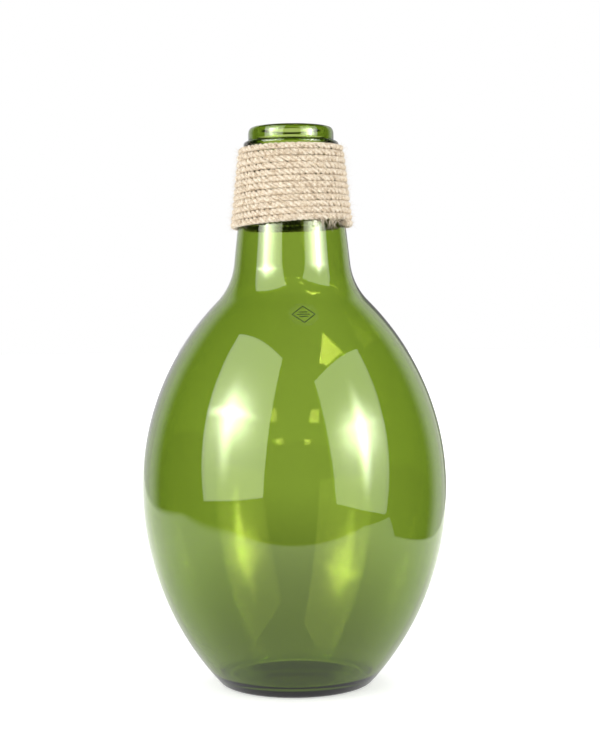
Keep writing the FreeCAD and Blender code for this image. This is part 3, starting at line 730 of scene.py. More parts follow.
@dataclass
class Bottle:
    """The blown glass: an egg-shaped body, a shoulder curve, a tapered neck, a collar and a lip."""

    overall_height: float = 440 * MM
    belly_radius: float = 120.4 * MM
    belly_height: float = 155.7 * MM
    wall: float = 4.5 * MM
    foot_radius: float = 54.4 * MM
    foot_width: float = 4 * MM
    foot_round: float = 1.5 * MM
    heel_radius: float = 9.8 * MM
    punt_height: float = 6 * MM
    punt_stop: float = 0.004
    base_thickness: float = 8 * MM
    inner_heel_radius: float = 15 * MM
    neck_length: float = 93.8 * MM
    neck_taper: float = math.radians(6.35)
    shoulder_radius: float = 49.6 * MM
    mouth_radius: float = 28 * MM
    mouth_length: float = 16 * MM
    polish_depth: float = 8 * MM
    throat_rise: float = 10 * MM
    lip_wall: float = 4.4 * MM
    lip_height: float = 10.5 * MM
    lip_flare: float = 1.3 * MM
    lip_crown: Flat = (3.0 * MM, 5.0 * MM)
    lip_edge: float = 1.6 * MM
    collar_step: float = 3.1 * MM
    collar_drop: float = 3 * MM
    collar_section: float = 2.6 * MM
    collar_projection: float = 2.1 * MM
    collar_span: Span = (-74.0, 62.0)
    rim_melt: float = 0.8 * MM
    rim_step: float = 0.45 * MM
    throat_melt: float = 3 * MM
    segments: int = 248
    waver: float = 0.35 * MM
    outer_share: float = 0.35
    waves: tuple[Flat, ...] = ((1, 0.5), (2, 0.6), (3, 0.35), (4, 0.25), (5, 0.15))
    steepest_wave: float = 28.0
    foot_fade: Span = (12 * MM, 50 * MM)
    neck_fade: Span = (20 * MM, 60 * MM)
    seed: int = 5

    def __post_init__(self) -> None:
        """Works out the places that the arcs' tangencies settle, as (radius, height)."""
        self.groove_radius = self.mouth_radius + self.lip_wall
        self.lip_base = self.overall_height - self.lip_height
        self.collar_height = self.lip_base - self.collar_drop
        self.neck_top_radius = self.groove_radius + self.collar_step
        self.neck_base_height = self.collar_height - self.neck_length
        neck_base = (self.neck_radius(self.neck_base_height), self.neck_base_height)

        self.heel = (self.foot_radius, self.heel_radius)
        across, up = self.belly_radius - self.heel[0], self.belly_height - self.heel[1]
        self.lower_radius = (across**2 + up**2 - self.heel_radius**2) / (2 * (across - self.heel_radius))
        self.lower = (self.belly_radius - self.lower_radius, self.belly_height)
        self.heel_end = heading(self.lower, self.heel)

        self.shoulder = (
            neck_base[0] + self.shoulder_radius * math.cos(self.neck_taper),
            neck_base[1] + self.shoulder_radius * math.sin(self.neck_taper),
        )
        across, up = self.belly_radius - self.shoulder[0], self.shoulder[1] - self.belly_height
        fillet = self.shoulder_radius
        self.upper_radius = (across**2 + up**2 - fillet**2) / (2 * (across + fillet))
        self.upper = (self.belly_radius - self.upper_radius, self.belly_height)
        self.upper_end = heading(self.upper, self.shoulder)
        self.shoulder_turn = (self.upper_end + math.pi, self.neck_taper + math.pi)

        self.punt_edge = self.foot_radius - self.foot_width
        self.punt_radius = (self.punt_edge**2 + self.punt_height**2) / (2 * self.punt_height)
        self.punt = (0.0, self.punt_height - self.punt_radius)

        top = self.collar_height - 2 * self.collar_section
        self.neck_top = (self.neck_radius(top), top)
        self.bore = (self.mouth_radius, self.overall_height - self.polish_depth)

    def neck_radius(self, height: "float | np.ndarray") -> "float | np.ndarray":
        """The neck's outer radius at a height."""
        return self.neck_top_radius + (self.collar_height - height) * math.tan(self.neck_taper)

    def outside(self) -> np.ndarray:
        """The outer half section, from the axis under the base up to the neck's top.

        Returns:
            Its points, as (n, 2) of radius and height.
        """
        punt_end = heading(self.punt, (self.punt_edge, 0.0)) + self.punt_stop
        dome = arc(self.punt, self.punt_radius, math.pi / 2, punt_end, 24)
        inner_edge, outer_edge = (self.punt_edge, 0.0), (self.foot_radius, 0.0)
        edge = rounded(tuple(dome[-1]), inner_edge, outer_edge, self.foot_round, 4)
        heel = arc(self.heel, self.heel_radius, -math.pi / 2, self.heel_end, 12)
        lower = arc(self.lower, self.lower_radius, self.heel_end, 0.0, 44)
        upper = arc(self.upper, self.upper_radius, 0.0, self.upper_end, 36)
        shoulder = arc(self.shoulder, self.shoulder_radius, *self.shoulder_turn, 20)
        neck = straight(tuple(shoulder[-1]), self.neck_top, 14)
        return np.concatenate([dome, edge, heel, lower[1:], upper[1:], shoulder[1:], neck[1:]])

    def rim(self) -> np.ndarray:
        """The half section over the collar, the groove and the lip, down to the bore, all fire-polished.

        The lip's crown is a quarter of an ellipse, (wide * cos t, high * sin t).

        Returns:
            Its points, as (n, 2) of radius and height.
        """
        centre = (self.neck_top_radius + self.collar_projection - self.collar_section, self.collar_height)
        first, last = (math.radians(degrees) for degrees in self.collar_span)
        collar = arc(centre, self.collar_section, first, last, 24)
        flared = self.groove_radius + self.lip_flare
        under, groove = (flared, self.lip_base), (self.groove_radius, self.lip_base)
        wide, high = self.lip_crown
        turn = arc((0.0, 0.0), 1.0, 0.0, math.pi / 2, 20)
        crown = np.array([flared - wide, self.overall_height - high]) + turn * self.lip_crown
        corner = (self.mouth_radius, self.overall_height)
        edge = rounded(tuple(crown[-1]), corner, self.bore, self.lip_edge, 8)
        line = [[self.neck_top], collar, [groove], [under], crown, edge, [self.bore]]
        line = np.concatenate([np.array(part, float) for part in line])
        return melted(line, self.rim_step, self.rim_melt)

    def inside(self) -> np.ndarray:
        """The inner half section, from the bore down to the axis on the floor.

        Returns:
            Its points, as (n, 2) of radius and height.
        """
        lower_radius, upper_radius = self.lower_radius - self.wall, self.upper_radius - self.wall
        shoulder_radius = self.shoulder_radius + self.wall
        floor_radius = self.punt_radius + self.base_thickness
        heel_radius = self.inner_heel_radius
        heel = self._meeting(lower_radius - heel_radius, floor_radius + heel_radius)
        floor_end, heel_end = heading(self.punt, heel), heading(self.lower, heel)
        mouth_base = self.overall_height - self.mouth_length
        throat_base = mouth_base - self.throat_rise
        throat = (self.neck_radius(throat_base) - self.wall / math.cos(self.neck_taper), throat_base)
        shoulder = arc(self.shoulder, shoulder_radius, *self.shoulder_turn[::-1], 20)
        corners = np.array([self.bore, (self.mouth_radius, mouth_base), throat, tuple(shoulder[0])])
        neck = melted(corners, self.throat_melt, self.throat_melt)
        upper = arc(self.upper, upper_radius, self.upper_end, 0.0, 36)
        lower = arc(self.lower, lower_radius, 0.0, heel_end, 44)
        corner = arc(heel, heel_radius, heel_end + FULL_TURN, floor_end + math.pi, 14)
        floor = arc(self.punt, floor_radius, floor_end, math.pi / 2, 24)
        return np.concatenate([neck[1:], shoulder[1:], upper[1:], lower[1:], corner[1:], floor[1:]])

    def _meeting(self, from_lower: float, from_punt: float) -> Flat:
        """Where two circles meet, on the side away from the axis.

        Args:
            from_lower: radius of the one round the lower arc's centre.
            from_punt: radius of the one round the punt's centre.

        Returns:
            The meeting point.
        """
        gap = math.dist(self.lower, self.punt)
        along = (from_lower**2 - from_punt**2 + gap**2) / (2 * gap)
        aside = math.sqrt(from_lower**2 - along**2)
        ux, uz = (self.punt[0] - self.lower[0]) / gap, (self.punt[1] - self.lower[1]) / gap
        foot = (self.lower[0] + ux * along, self.lower[1] + uz * along)
        return max((foot[0] + s * uz * aside, foot[1] - s * ux * aside) for s in (1, -1))

    def unevenness(self, angle: np.ndarray, height: np.ndarray, seed: int) -> np.ndarray:
        """How far blown glass strays from true, in metres: a sum of long waves
        cos(lobes * angle + pitch * height + phase), which fades out at the foot and on the neck.

        Args:
            angle: angles round the axis.
            height: heights.
            seed: picks the waves.

        Returns:
            The offset along the surface's normal.
        """
        draw = np.random.default_rng(seed)
        total = np.zeros(np.broadcast(angle, height).shape)
        for lobes, weight in self.waves:
            pitch = draw.uniform(-self.steepest_wave, self.steepest_wave)
            phase = draw.uniform(0.0, FULL_TURN)
            total = total + weight * np.cos(lobes * angle + pitch * height + phase)
        start, run = self.foot_fade
        low = np.clip((height - start) / run, 0, 1)
        past, run = self.neck_fade
        high = np.clip((self.neck_base_height + past - height) / run, 0, 1)
        return total * self.waver * (low * low * (3 - 2 * low)) * (high * high * (3 - 2 * high))

    def build(self) -> bpy.types.Object:
        """Turns the closed half section about the axis: (r cos a, r sin a, z), with r and z moved along the
        section's normal by the unevenness, less on the outside than on the inside.

        Returns:
            The glass piece.
        """
        outer, rim, inner = self.outside(), self.rim(), self.inside()
        section = np.concatenate([outer, rim[1:], inner])
        within = np.arange(len(section)) >= len(outer) + len(rim) - 1
        slope = np.gradient(section, axis=0)
        normal = unit(np.stack([slope[:, 1], -slope[:, 0]], 1))[1:-1, None, :]
        body = section[1:-1, None, :]
        angle, height = round_turn(self.segments)[None, :], body[..., 1]
        shift = self.outer_share * self.unevenness(angle, height, self.seed)
        hollow = self.unevenness(angle, height, self.seed + 1) - shift
        shift = np.where(within[1:-1, None], hollow, shift)[..., None]
        radius, level = np.moveaxis(body + shift * normal, -1, 0)
        rings = np.stack([radius * np.cos(angle), radius * np.sin(angle), level], 2)
        ends = np.array([[0, 0, section[0, 1]], [0, 0, section[-1, 1]]])
        glass = make_mesh("bottle_glass", *capped(rings, *ends))
        GreenGlass().dress(glass)
        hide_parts("glass_bottle")
        return glass

    def on_upper_body(self, angle: np.ndarray, tilt: np.ndarray, lift: np.ndarray) -> np.ndarray:
        """Points over the upper body: the upper arc's point at a tilt, turned to an angle and lifted along
        the normal.

        Args:
            angle: angles round the axis.
            tilt: angles on the upper arc, from the belly up.
            lift: distances above the glass.

        Returns:
            Points, with a last axis of 3.
        """
        height = self.upper[1] + self.upper_radius * np.sin(tilt)
        waver = self.outer_share * self.unevenness(angle, height, self.seed)
        reach = self.upper_radius + lift + waver
        radius, level = self.upper[0] + reach * np.cos(tilt), self.upper[1] + reach * np.sin(tilt)
        return np.stack([radius * np.cos(angle), radius * np.sin(angle), level], -1)


# ---------------------------------------------------------------- the rope


@dataclass(frozen=True)
class Fray:
    """A tuft at a cut end of the rope: its turn, which way it points, and how many fibres it has."""

    turn: float
    ahead: float
    count: int


@dataclass
class Winding:
    """Three-strand jute rope, wound up the neck from its frayed lower end.

    The strands are laid a little fuller than the part's smooth rope, so their centre line is eased away
    from the glass.
    """

    bottle: Bottle
    diameter: float = 4.8 * MM
    turns: float = 12.05
    gap: float = 0.1 * MM
    start_angle: float = math.radians(-25)
    sag: float = 3.8 * MM
    lift: float = 0.8 * MM
    glue: float = 0.4 * MM
    collar_gap: float = 0.15 * MM
    ease: float = 0.2 * MM
    strands: int = 3
    laid_radius: float = 2.85 * MM
    strand_radius: float = 1.34 * MM
    stray: float = 0.11 * MM
    stray_waves: Span = (14.5, 23.2)
    lay: float = 13.2 * MM
    lay_drift: float = 0.35
    lay_drift_run: float = 60 * MM
    sides: int = 14
    stations_per_lay: int = 15
    yarns: int = 4
    yarn_lay: float = 8 * MM
    yarn_bulge: float = 0.045
    thick_drift: float = 0.06
    thick_drift_run: float = 25 * MM
    snug_share: float = 0.08
    snug_run: float = 230 * MM
    end_opening: float = 0.22
    end_run: float = 4 * MM
    end_blunt: float = 1.2 * MM
    small_step: float = 0.001
    fuzz_count: int = 7000
    fuzz_length: Span = (1.2 * MM, 5.0 * MM)
    fuzz_thickness: float = 0.04 * MM
    fuzz_root: float = 0.25 * MM
    tuft_length: Span = (2 * MM, 6 * MM)
    tuft_thickness: float = 0.12 * MM
    tuft_spread: float = 0.9 * MM
    hanging_count: int = 44
    hanging_length: Span = (4 * MM, 10 * MM)
    hanging_thickness: Span = (0.15 * MM, 0.32 * MM)
    hanging_drop: float = 1.7 * MM
    seed: int = 11

    def top(self) -> float:
        """The height of the rope's centre at its top end, where it clears the collar: the drop below the
        collar's centre at which the two round sections are a gap apart, found by going round until it holds.

        Returns:
            The height.
        """
        b = self.bottle
        offset = (self.glue + self.diameter / 2) / math.cos(b.neck_taper)
        reach = b.collar_section + self.diameter / 2 + self.collar_gap
        collar_radius = b.neck_top_radius + b.collar_projection - b.collar_section
        drop = 0.0
        for _ in range(20):
            aside = b.neck_radius(b.collar_height - drop) + offset - collar_radius
            drop = math.sqrt(max(reach**2 - aside**2, 0.0))
        return b.collar_height - drop

    def centre(self, turn: np.ndarray) -> np.ndarray:
        """The rope's centre line: a helix on the neck's cone, whose lower turns sag at the side away from
        the ends by a share that falls from sag at the bottom to minus lift at the top. Two sines that
        don't repeat from one turn to the next make the rows stray a little, and the ease moves all of it
        away from the glass.

        Args:
            turn: turns from the lower end.

        Returns:
            Points, as (n, 3).
        """
        bow = (1 - np.cos(FULL_TURN * turn)) / 2
        drop = self.sag - (self.sag + self.lift) * turn / self.turns
        height = self.top() + (self.diameter + self.gap) * (turn - self.turns) - drop * bow
        slow, quick = self.stray_waves
        height = height + self.stray * (np.sin(slow * turn) + np.sin(quick * turn + 1))
        offset = (self.glue + self.diameter / 2) / math.cos(self.bottle.neck_taper)
        radius = self.bottle.neck_radius(height) + offset + self.ease
        angle = self.start_angle + FULL_TURN * turn
        return np.stack([radius * np.cos(angle), radius * np.sin(angle), height], 1)

    def even_turns(self, count: int) -> tuple[np.ndarray, np.ndarray]:
        """Turn values whose points are evenly spaced along the rope.

        Args:
            count: number of points.

        Returns:
            The turn values and their distances along the rope.
        """
        turn = np.linspace(0.0, self.turns, 4000)
        run = distances(self.centre(turn))
        at = np.linspace(0.0, run[-1], count)
        return np.interp(at, run, turn), at

    def length(self) -> float:
        """The rope's length."""
        return float(self.even_turns(2)[1][-1])

    def strand(self, number: int) -> bpy.types.Object:
        """One strand: a tube whose centre circles the rope's centre line once in each lay, right-handed.
        Its section bulges with four yarns that twist the other way, and near the rope's ends it opens out.

        Args:
            number: which of the strands.

        Returns:
            The strand piece.
        """
        count = int(self.length() / self.lay * self.stations_per_lay)
        turn, run = self.even_turns(count)
        line = self.centre(turn)
        along = unit(np.gradient(line, axis=0))
        away = square_to(line * np.array([1.0, 1.0, 0.0]), along)
        over = np.cross(along, away)
        draw = np.random.default_rng(self.seed + number)
        swing = self.laid_radius - self.strand_radius
        snug = 1 - self.snug_share * np.exp(-(((run[-1] - run) / self.snug_run) ** 4))
        drift = self._wander(draw, run, self.lay_drift_run) * self.lay_drift
        phase = FULL_TURN * (run / self.lay + number / self.strands) + drift
        to_end = np.minimum(run, run[-1] - run)
        opening = 1 + self.end_opening * np.exp(-((to_end / self.end_run) ** 2))
        out = np.cos(phase)[:, None] * away + np.sin(phase)[:, None] * over
        path = line + (swing * opening * snug)[:, None] * out
        twist = self.yarns * round_turn(self.sides)[None, :] + (FULL_TURN * run / self.yarn_lay)[:, None]
        thick = snug + self.thick_drift * self._wander(draw, run, self.thick_drift_run)
        ends = np.clip(to_end / self.end_blunt, 0.25, 1.0) ** 0.5
        bulge = 1 + self.yarn_bulge * np.cos(twist)
        radii = self.strand_radius * thick[:, None] * bulge * ends[:, None]
        piece = make_mesh(f"rope_strand_{number + 1}", *tube(path, out, radii))
        self._lay_out(piece, run, number)
        return piece

    @staticmethod
    def _wander(draw: np.random.Generator, run: np.ndarray, stretch: float) -> np.ndarray:
        """Smooth random values of about -1 to 1, a new one in each stretch, joined by straight lines."""
        knots = int(run[-1] / stretch) + 2
        return np.interp(run / stretch, np.arange(knots), draw.uniform(-1.0, 1.0, knots))

    def _lay_out(self, piece: bpy.types.Object, run: np.ndarray, number: int) -> None:
        """Gives a strand its UV map: U is the distance along it in metres, and V the share of the way round.

        Args:
            piece: the strand.
            run: the distance of each station.
            number: which strand, so that their patterns differ.
        """
        vertex = np.arange(len(run) * self.sides)
        u = np.concatenate([run[vertex // self.sides], [0.0, run[-1]]]) + number * 0.37
        v = np.concatenate([np.abs((vertex % self.sides) / self.sides * 2 - 1), [0.5, 0.5]]) + number
        map_vertices(piece.data, np.stack([u, v], 1))

    def fuzz(self) -> bpy.types.Object:
        """Loose fibres all over the rope, each of which starts in the rope's face.

        Returns:
            The fuzz piece.
        """
        count = self.fuzz_count
        draw = np.random.default_rng(self.seed + 20)
        turn = draw.uniform(0.0, self.turns, count)
        line = self.centre(turn)
        ahead = unit(self.centre(turn + self.small_step) - line)
        away = off_axis(line)
        tilt = draw.normal(0.0, 0.7, count)[:, None]
        face = np.cos(tilt) * away + np.sin(tilt) * np.cross(ahead, away)
        lean = face * draw.uniform(0.15, 0.8, (count, 1)) + ahead * draw.normal(0, 0.8, (count, 1))
        bend = draw.normal(0.0, 0.45, (count, 3)) * 0.6
        long = draw.uniform(*self.fuzz_length, count)
        roots = line + face * (self.laid_radius - self.fuzz_root)
        return make_mesh("rope_fuzz", *bent_hairs(roots, unit(lean), bend, long, self.fuzz_thickness, 5))

    def frays(self) -> bpy.types.Object:
        """Tufts at the cut ends, and the strays that hang below the lowest turn near its end.

        Returns:
            The frays piece.
        """
        draw = np.random.default_rng(self.seed + 40)
        roots, leans, longs, thick = [], [], [], []
        for tuft in (Fray(0.0, -1.0, 90), Fray(self.turns, 1.0, 60)):
            beyond = tuft.turn + self.small_step * tuft.ahead
            end, ahead = self.centre(np.array([tuft.turn, beyond]))
            roots.append(end + draw.normal(0.0, self.tuft_spread, (tuft.count, 3)))
            slump = np.array([0, 0, -0.15])
            leans.append(unit(ahead - end) + draw.normal(0.0, 0.45, (tuft.count, 3)) + slump)
            longs.append(draw.uniform(*self.tuft_length, tuft.count))
            thick.append(np.full(tuft.count, self.tuft_thickness))
        count, down = self.hanging_count, np.array([0, 0, -1.0])
        below = self.centre(1.0 - draw.beta(1.5, 2.5, count) * 0.13 - 0.02)
        away = off_axis(below)
        aside = away * draw.uniform(-1.4, 1.2, (count, 1)) * MM
        roots.append(below + aside + down * self.hanging_drop)
        leans.append(away * 0.25 + draw.normal(0.0, 0.45, (count, 3)) + down)
        longs.append(draw.uniform(*self.hanging_length, count))
        thick.append(draw.uniform(*self.hanging_thickness, count))
        root, lean, long, width = map(np.concatenate, (roots, leans, longs, thick))
        bend = draw.normal(0.0, 0.35, lean.shape)
        return make_mesh("rope_frays", *bent_hairs(root, unit(lean), bend, long, width, 6))

    def build(self) -> list[bpy.types.Object]:
        """Makes the strands, their fuzz and their frayed ends.

        Returns:
            The pieces.
        """
        strands = [self.strand(number) for number in range(self.strands)]
        hairy = [self.fuzz(), self.frays()]
        Jute().dress(*strands)
        LooseFibre().dress(*hairy)
        for piece in strands:
            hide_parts("jute_rope")
        return strands + hairy


# ---------------------------------------------------------------- the label


@dataclass
class Label:
    """A clear round film on the shoulder, printed with a plain lozenge and bars."""

    bottle: Bottle
    diameter: float = 22.5 * MM
    film: float = 0.12 * MM
    drop: float = 10.7 * MM
    angle: float = math.radians(-83)
    adhesive: float = 0.02 * MM
    ink: Span = (0.03 * MM, 0.07 * MM)
    stroke: float = 0.75 * MM
    lozenge: Flat = (8.6 * MM, 8.0 * MM)
    bars: tuple[Flat, ...] = ((2.2 * MM, 3.2 * MM), (0.0, 4.8 * MM), (-2.2 * MM, 3.2 * MM))
    rings: int = 9
    around: int = 64
    stations: int = 14

    def place(self, across: np.ndarray, up: np.ndarray, lift: np.ndarray) -> np.ndarray:
        """Points on the glass round the label's middle.

        Args:
            across: distances to the right along the glass.
            up: distances up along it.
            lift: distances above it.

        Returns:
            Points, with a last axis of 3.
        """
        b = self.bottle
        level = b.upper[1] + b.upper_radius * math.sin(b.upper_end) - self.drop
        tilt = math.asin((level - b.upper[1]) / b.upper_radius) + up / b.upper_radius
        radius = b.upper[0] + b.upper_radius * np.cos(tilt)
        return b.on_upper_body(self.angle + across / radius, tilt, lift)

    def clear_film(self) -> bpy.types.Object:
        """The film: a disc of rings, (ring * cos a, ring * sin a), as a top face, a back face and an edge.

        Returns:
            The film piece.
        """
        radius = self.diameter / 2
        ring = np.linspace(0.0, radius, self.rings + 1)[1:]
        reach = np.concatenate([ring, [radius - self.adhesive], ring[::-1]])[:, None]
        share = np.concatenate([np.full(self.rings, 1.0), [0.5], np.zeros(self.rings)])[:, None]
        angle = round_turn(self.around)[None, :]
        across, up = reach * np.cos(angle), reach * np.sin(angle)
        lift = np.broadcast_to(share * self.film + self.adhesive, across.shape)
        zero = np.zeros(1)
        middles = [self.place(zero, zero, zero + h * self.film + self.adhesive)[0] for h in (1.0, 0.0)]
        points, quads, triangles = capped(self.place(across, up, lift), *middles)
        return make_mesh("label_clear_film", points, quads[:, ::-1], triangles[:, ::-1])

    def mark(self) -> bpy.types.Object:
        """The print: thin strips, each a square-cornered tube laid on the film, as a lozenge and three bars.

        Returns:
            The print piece.
        """
        wide, high = self.lozenge
        tips = [(wide, 0.0), (0.0, high), (-wide, 0.0), (0.0, -high)]
        lines = list(zip(tips, tips[1:] + tips[:1]))
        lines += [((-half, level), (half, level)) for level, half in self.bars]
        strips = [self._strip(np.array(start), np.array(end)) for start, end in lines]
        quads = [faces + number * len(strip) for number, (strip, faces) in enumerate(strips)]
        points = np.concatenate([strip for strip, _ in strips])
        return make_mesh("label_mark", points, np.concatenate(quads), smooth=False)

    def _strip(self, start: np.ndarray, end: np.ndarray) -> tuple[np.ndarray, np.ndarray]:
        """One stroke of the print, a little longer than its line so that strokes meet.

        Args:
            start: where it starts, across and up.
            end: where it ends.

        Returns:
            Its points and faces.
        """
        stations = self.stations
        ahead = unit(end - start)
        side = np.array([-ahead[1], ahead[0]]) * self.stroke / 2
        share = np.linspace(-0.02, 1.02, stations)[:, None]
        line = start * (1 - share) + end * share
        low, high = (self.film + lift for lift in self.ink)
        corners = [(-1, low), (1, low), (1, high), (-1, high)]
        rows = [self.place(*(line + s * side).T, np.full(stations, lift)) for s, lift in corners]
        points = np.stack(rows, 1).reshape(-1, 3)
        caps = np.array([[3, 2, 1, 0], [(stations - 1) * 4 + k for k in range(4)]])
        return points, np.concatenate([grid_faces(stations, 4), caps])

    def build(self) -> list[bpy.types.Object]:
        """Makes the film and its print.

        Returns:
            The pieces.
        """
        film, mark = self.clear_film(), self.mark()
        ClearFilm().dress(film)
        LabelInk().dress(mark)
        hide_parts("clear_label")
        return [film, mark]


# ---------------------------------------------------------------- the studio


class Side(Enum):
    """Which side of the bottle a softbox stands on, seen from the front."""

    LEFT = "left"
    RIGHT = "right"


def set_up(piece: bpy.types.Object, shader: Shader, seen_directly: bool = True) -> bpy.types.Object:
    """Gives a studio mesh its material and sets whether the camera sees it and whether it casts shadows.

    Args:
        piece: the mesh.
        shader: its finished material.
        seen_directly: whether the camera sees it and it casts shadows.

    Returns:
        The mesh.
    """
    piece.data.materials.append(shader.owner)
    piece.visible_camera = seen_directly
    piece.visible_shadow = seen_directly
    return piece


@dataclass(frozen=True)
class Glow:
    """A bright patch on a softbox's cloth: its centre, its half width and half height, all as shares of the
    cloth's width and height counted from its top left corner, and its strength."""

    centre: Flat
    half_width: float
    half_height: float
    strength: float

    def light(self, shader: Shader, place: Wire) -> Wire:
        """The strength times the square of a smooth fall from 1 at the centre to 0 at the border.

        Args:
            shader: the cloth's shader.
            place: where on the cloth, as (u, v).

        Returns:
            The patch's light.
        """
        apart = shader.vectors("SUBTRACT", place, (*self.centre, 0.0))
        shares = shader.vectors("MULTIPLY", apart, (1 / self.half_width, 1 / self.half_height, 1.0))
        fall = 1 - shares.reach().ramp(0.0, 1.0)
        return fall * fall * self.strength


@dataclass(frozen=True)
class Softbox:
    """A tall softbox that shows in reflections, brightest round its lamp. Its corners run from the top
    left one to the right and round."""

    side: Side
    corners: tuple[Spot, Spot, Spot, Spot]
    glows: tuple[Glow, ...]
    cloth: float = 3.6
    # Painted reflection: the inside's reflections see the glows stronger by inner_gain and in inner_colour.
    inner_gain: float = 0.6
    inner_colour: Colour = (1.0, 0.78, 1.4)
    colour: Colour = (0.96, 1.0, 0.85)
    cells: int = 9

    def build(self) -> bpy.types.Object:
        """A grid over the four corners, (1 - v) * ((1 - u) * first + u * second) + v * ((1 - u) * fourth +
        u * third). Its light is the cloth's own plus its glows', and it is seen only in reflections.

        Returns:
            The softbox.
        """
        name = f"softbox_{self.side.value}"
        v, u = np.meshgrid(*[np.linspace(0.0, 1.0, self.cells)] * 2, indexing="ij")
        flat = np.stack([u, v], -1).reshape(-1, 2)
        u, v = flat[:, :1], flat[:, 1:]
        first, second, third, fourth = np.array(self.corners)
        points = (1 - v) * ((1 - u) * first + u * second) + v * ((1 - u) * fourth + u * third)
        box = make_mesh(name, points, grid_faces(self.cells, self.cells, closed=False), smooth=False)
        map_vertices(box.data, flat)
        box.visible_diffuse = False

        shader = Shader(bpy.data.materials.new(name))
        place = shader.wire("ShaderNodeTexCoord", "UV")
        # Painted reflection: where the inside's reflections off the far wall see the cloth, its glows are
        # stronger and its colour is violet.
        off_far_wall = shader.met_by(Ray.OFF_FAR_WALL)
        glow = sum(glow.light(shader, place) for glow in self.glows)
        strength = glow * (off_far_wall * self.inner_gain + 1) + self.cloth
        cloth = shader.wire("ShaderNodeRGB", 0)
        cloth.socket.default_value = (*self.colour, 1.0)
        colour = shader.tint(cloth, off_far_wall, self.inner_colour)
        shader.finish(shader.emission(colour, strength * shader.met_by(Ray.REFLECTED)))
        return set_up(box, shader, seen_directly=False)


@dataclass(frozen=True)
class Spark:
    """A painted glint, a patch over the table that only the far wall's inside mirrors, by its four corners.
    """

    corners: tuple[Flat, Flat, Flat, Flat]
    strength: float
    colour: Colour = (1.0, 0.7, 1.4)
    height: float = 1 * MM

    def build(self, number: int) -> bpy.types.Object:
        """A flat quad just above the table, clear to every other ray.

        Args:
            number: its number, for its name.

        Returns:
            The patch.
        """
        points = np.array([(x, y, self.height) for x, y in self.corners])
        patch = make_mesh(f"spark_{number}", points, np.array([[0, 1, 2, 3]]), smooth=False)
        shader = Shader(bpy.data.materials.new(f"spark_{number}"))
        # Painted glint: only a reflection off the far wall's inside, reached through the glass, sees its
        # light.
        mirrored = shader.met_by(Ray.OFF_FAR_WALL) * shader.met_by(Ray.REFLECTED)
        clear = shader.node("ShaderNodeBsdfTransparent")
        light = shader.emission((*self.colour, 1.0), self.strength)
        shader.finish(shader.mixed(clear, light, mirrored))
        return set_up(patch, shader, seen_directly=False)


@dataclass(frozen=True)
class Lamp:
    """A soft lamp that lights the rope and the table and doesn't show in reflections."""

    name: str
    place: Spot
    power: float
    aim: Spot = (0.0, 0.0, 0.3)
    size: Flat = (0.8, 1.0)

    def build(self) -> None:
        """Hangs the lamp, turned to its aim."""
        light = bpy.data.lights.new(self.name, "AREA")
        light.shape = "RECTANGLE"
        light.size, light.size_y = self.size
        light.energy = self.power
        lamp = bpy.data.objects.new(self.name, light)
        bpy.context.scene.collection.objects.link(lamp)
        lamp.location = self.place
        lamp.rotation_euler = (Vector(self.aim) - Vector(self.place)).to_track_quat("-Z", "Y").to_euler()
        lamp.visible_camera = False
        lamp.visible_glossy = False
        lamp.visible_transmission = False


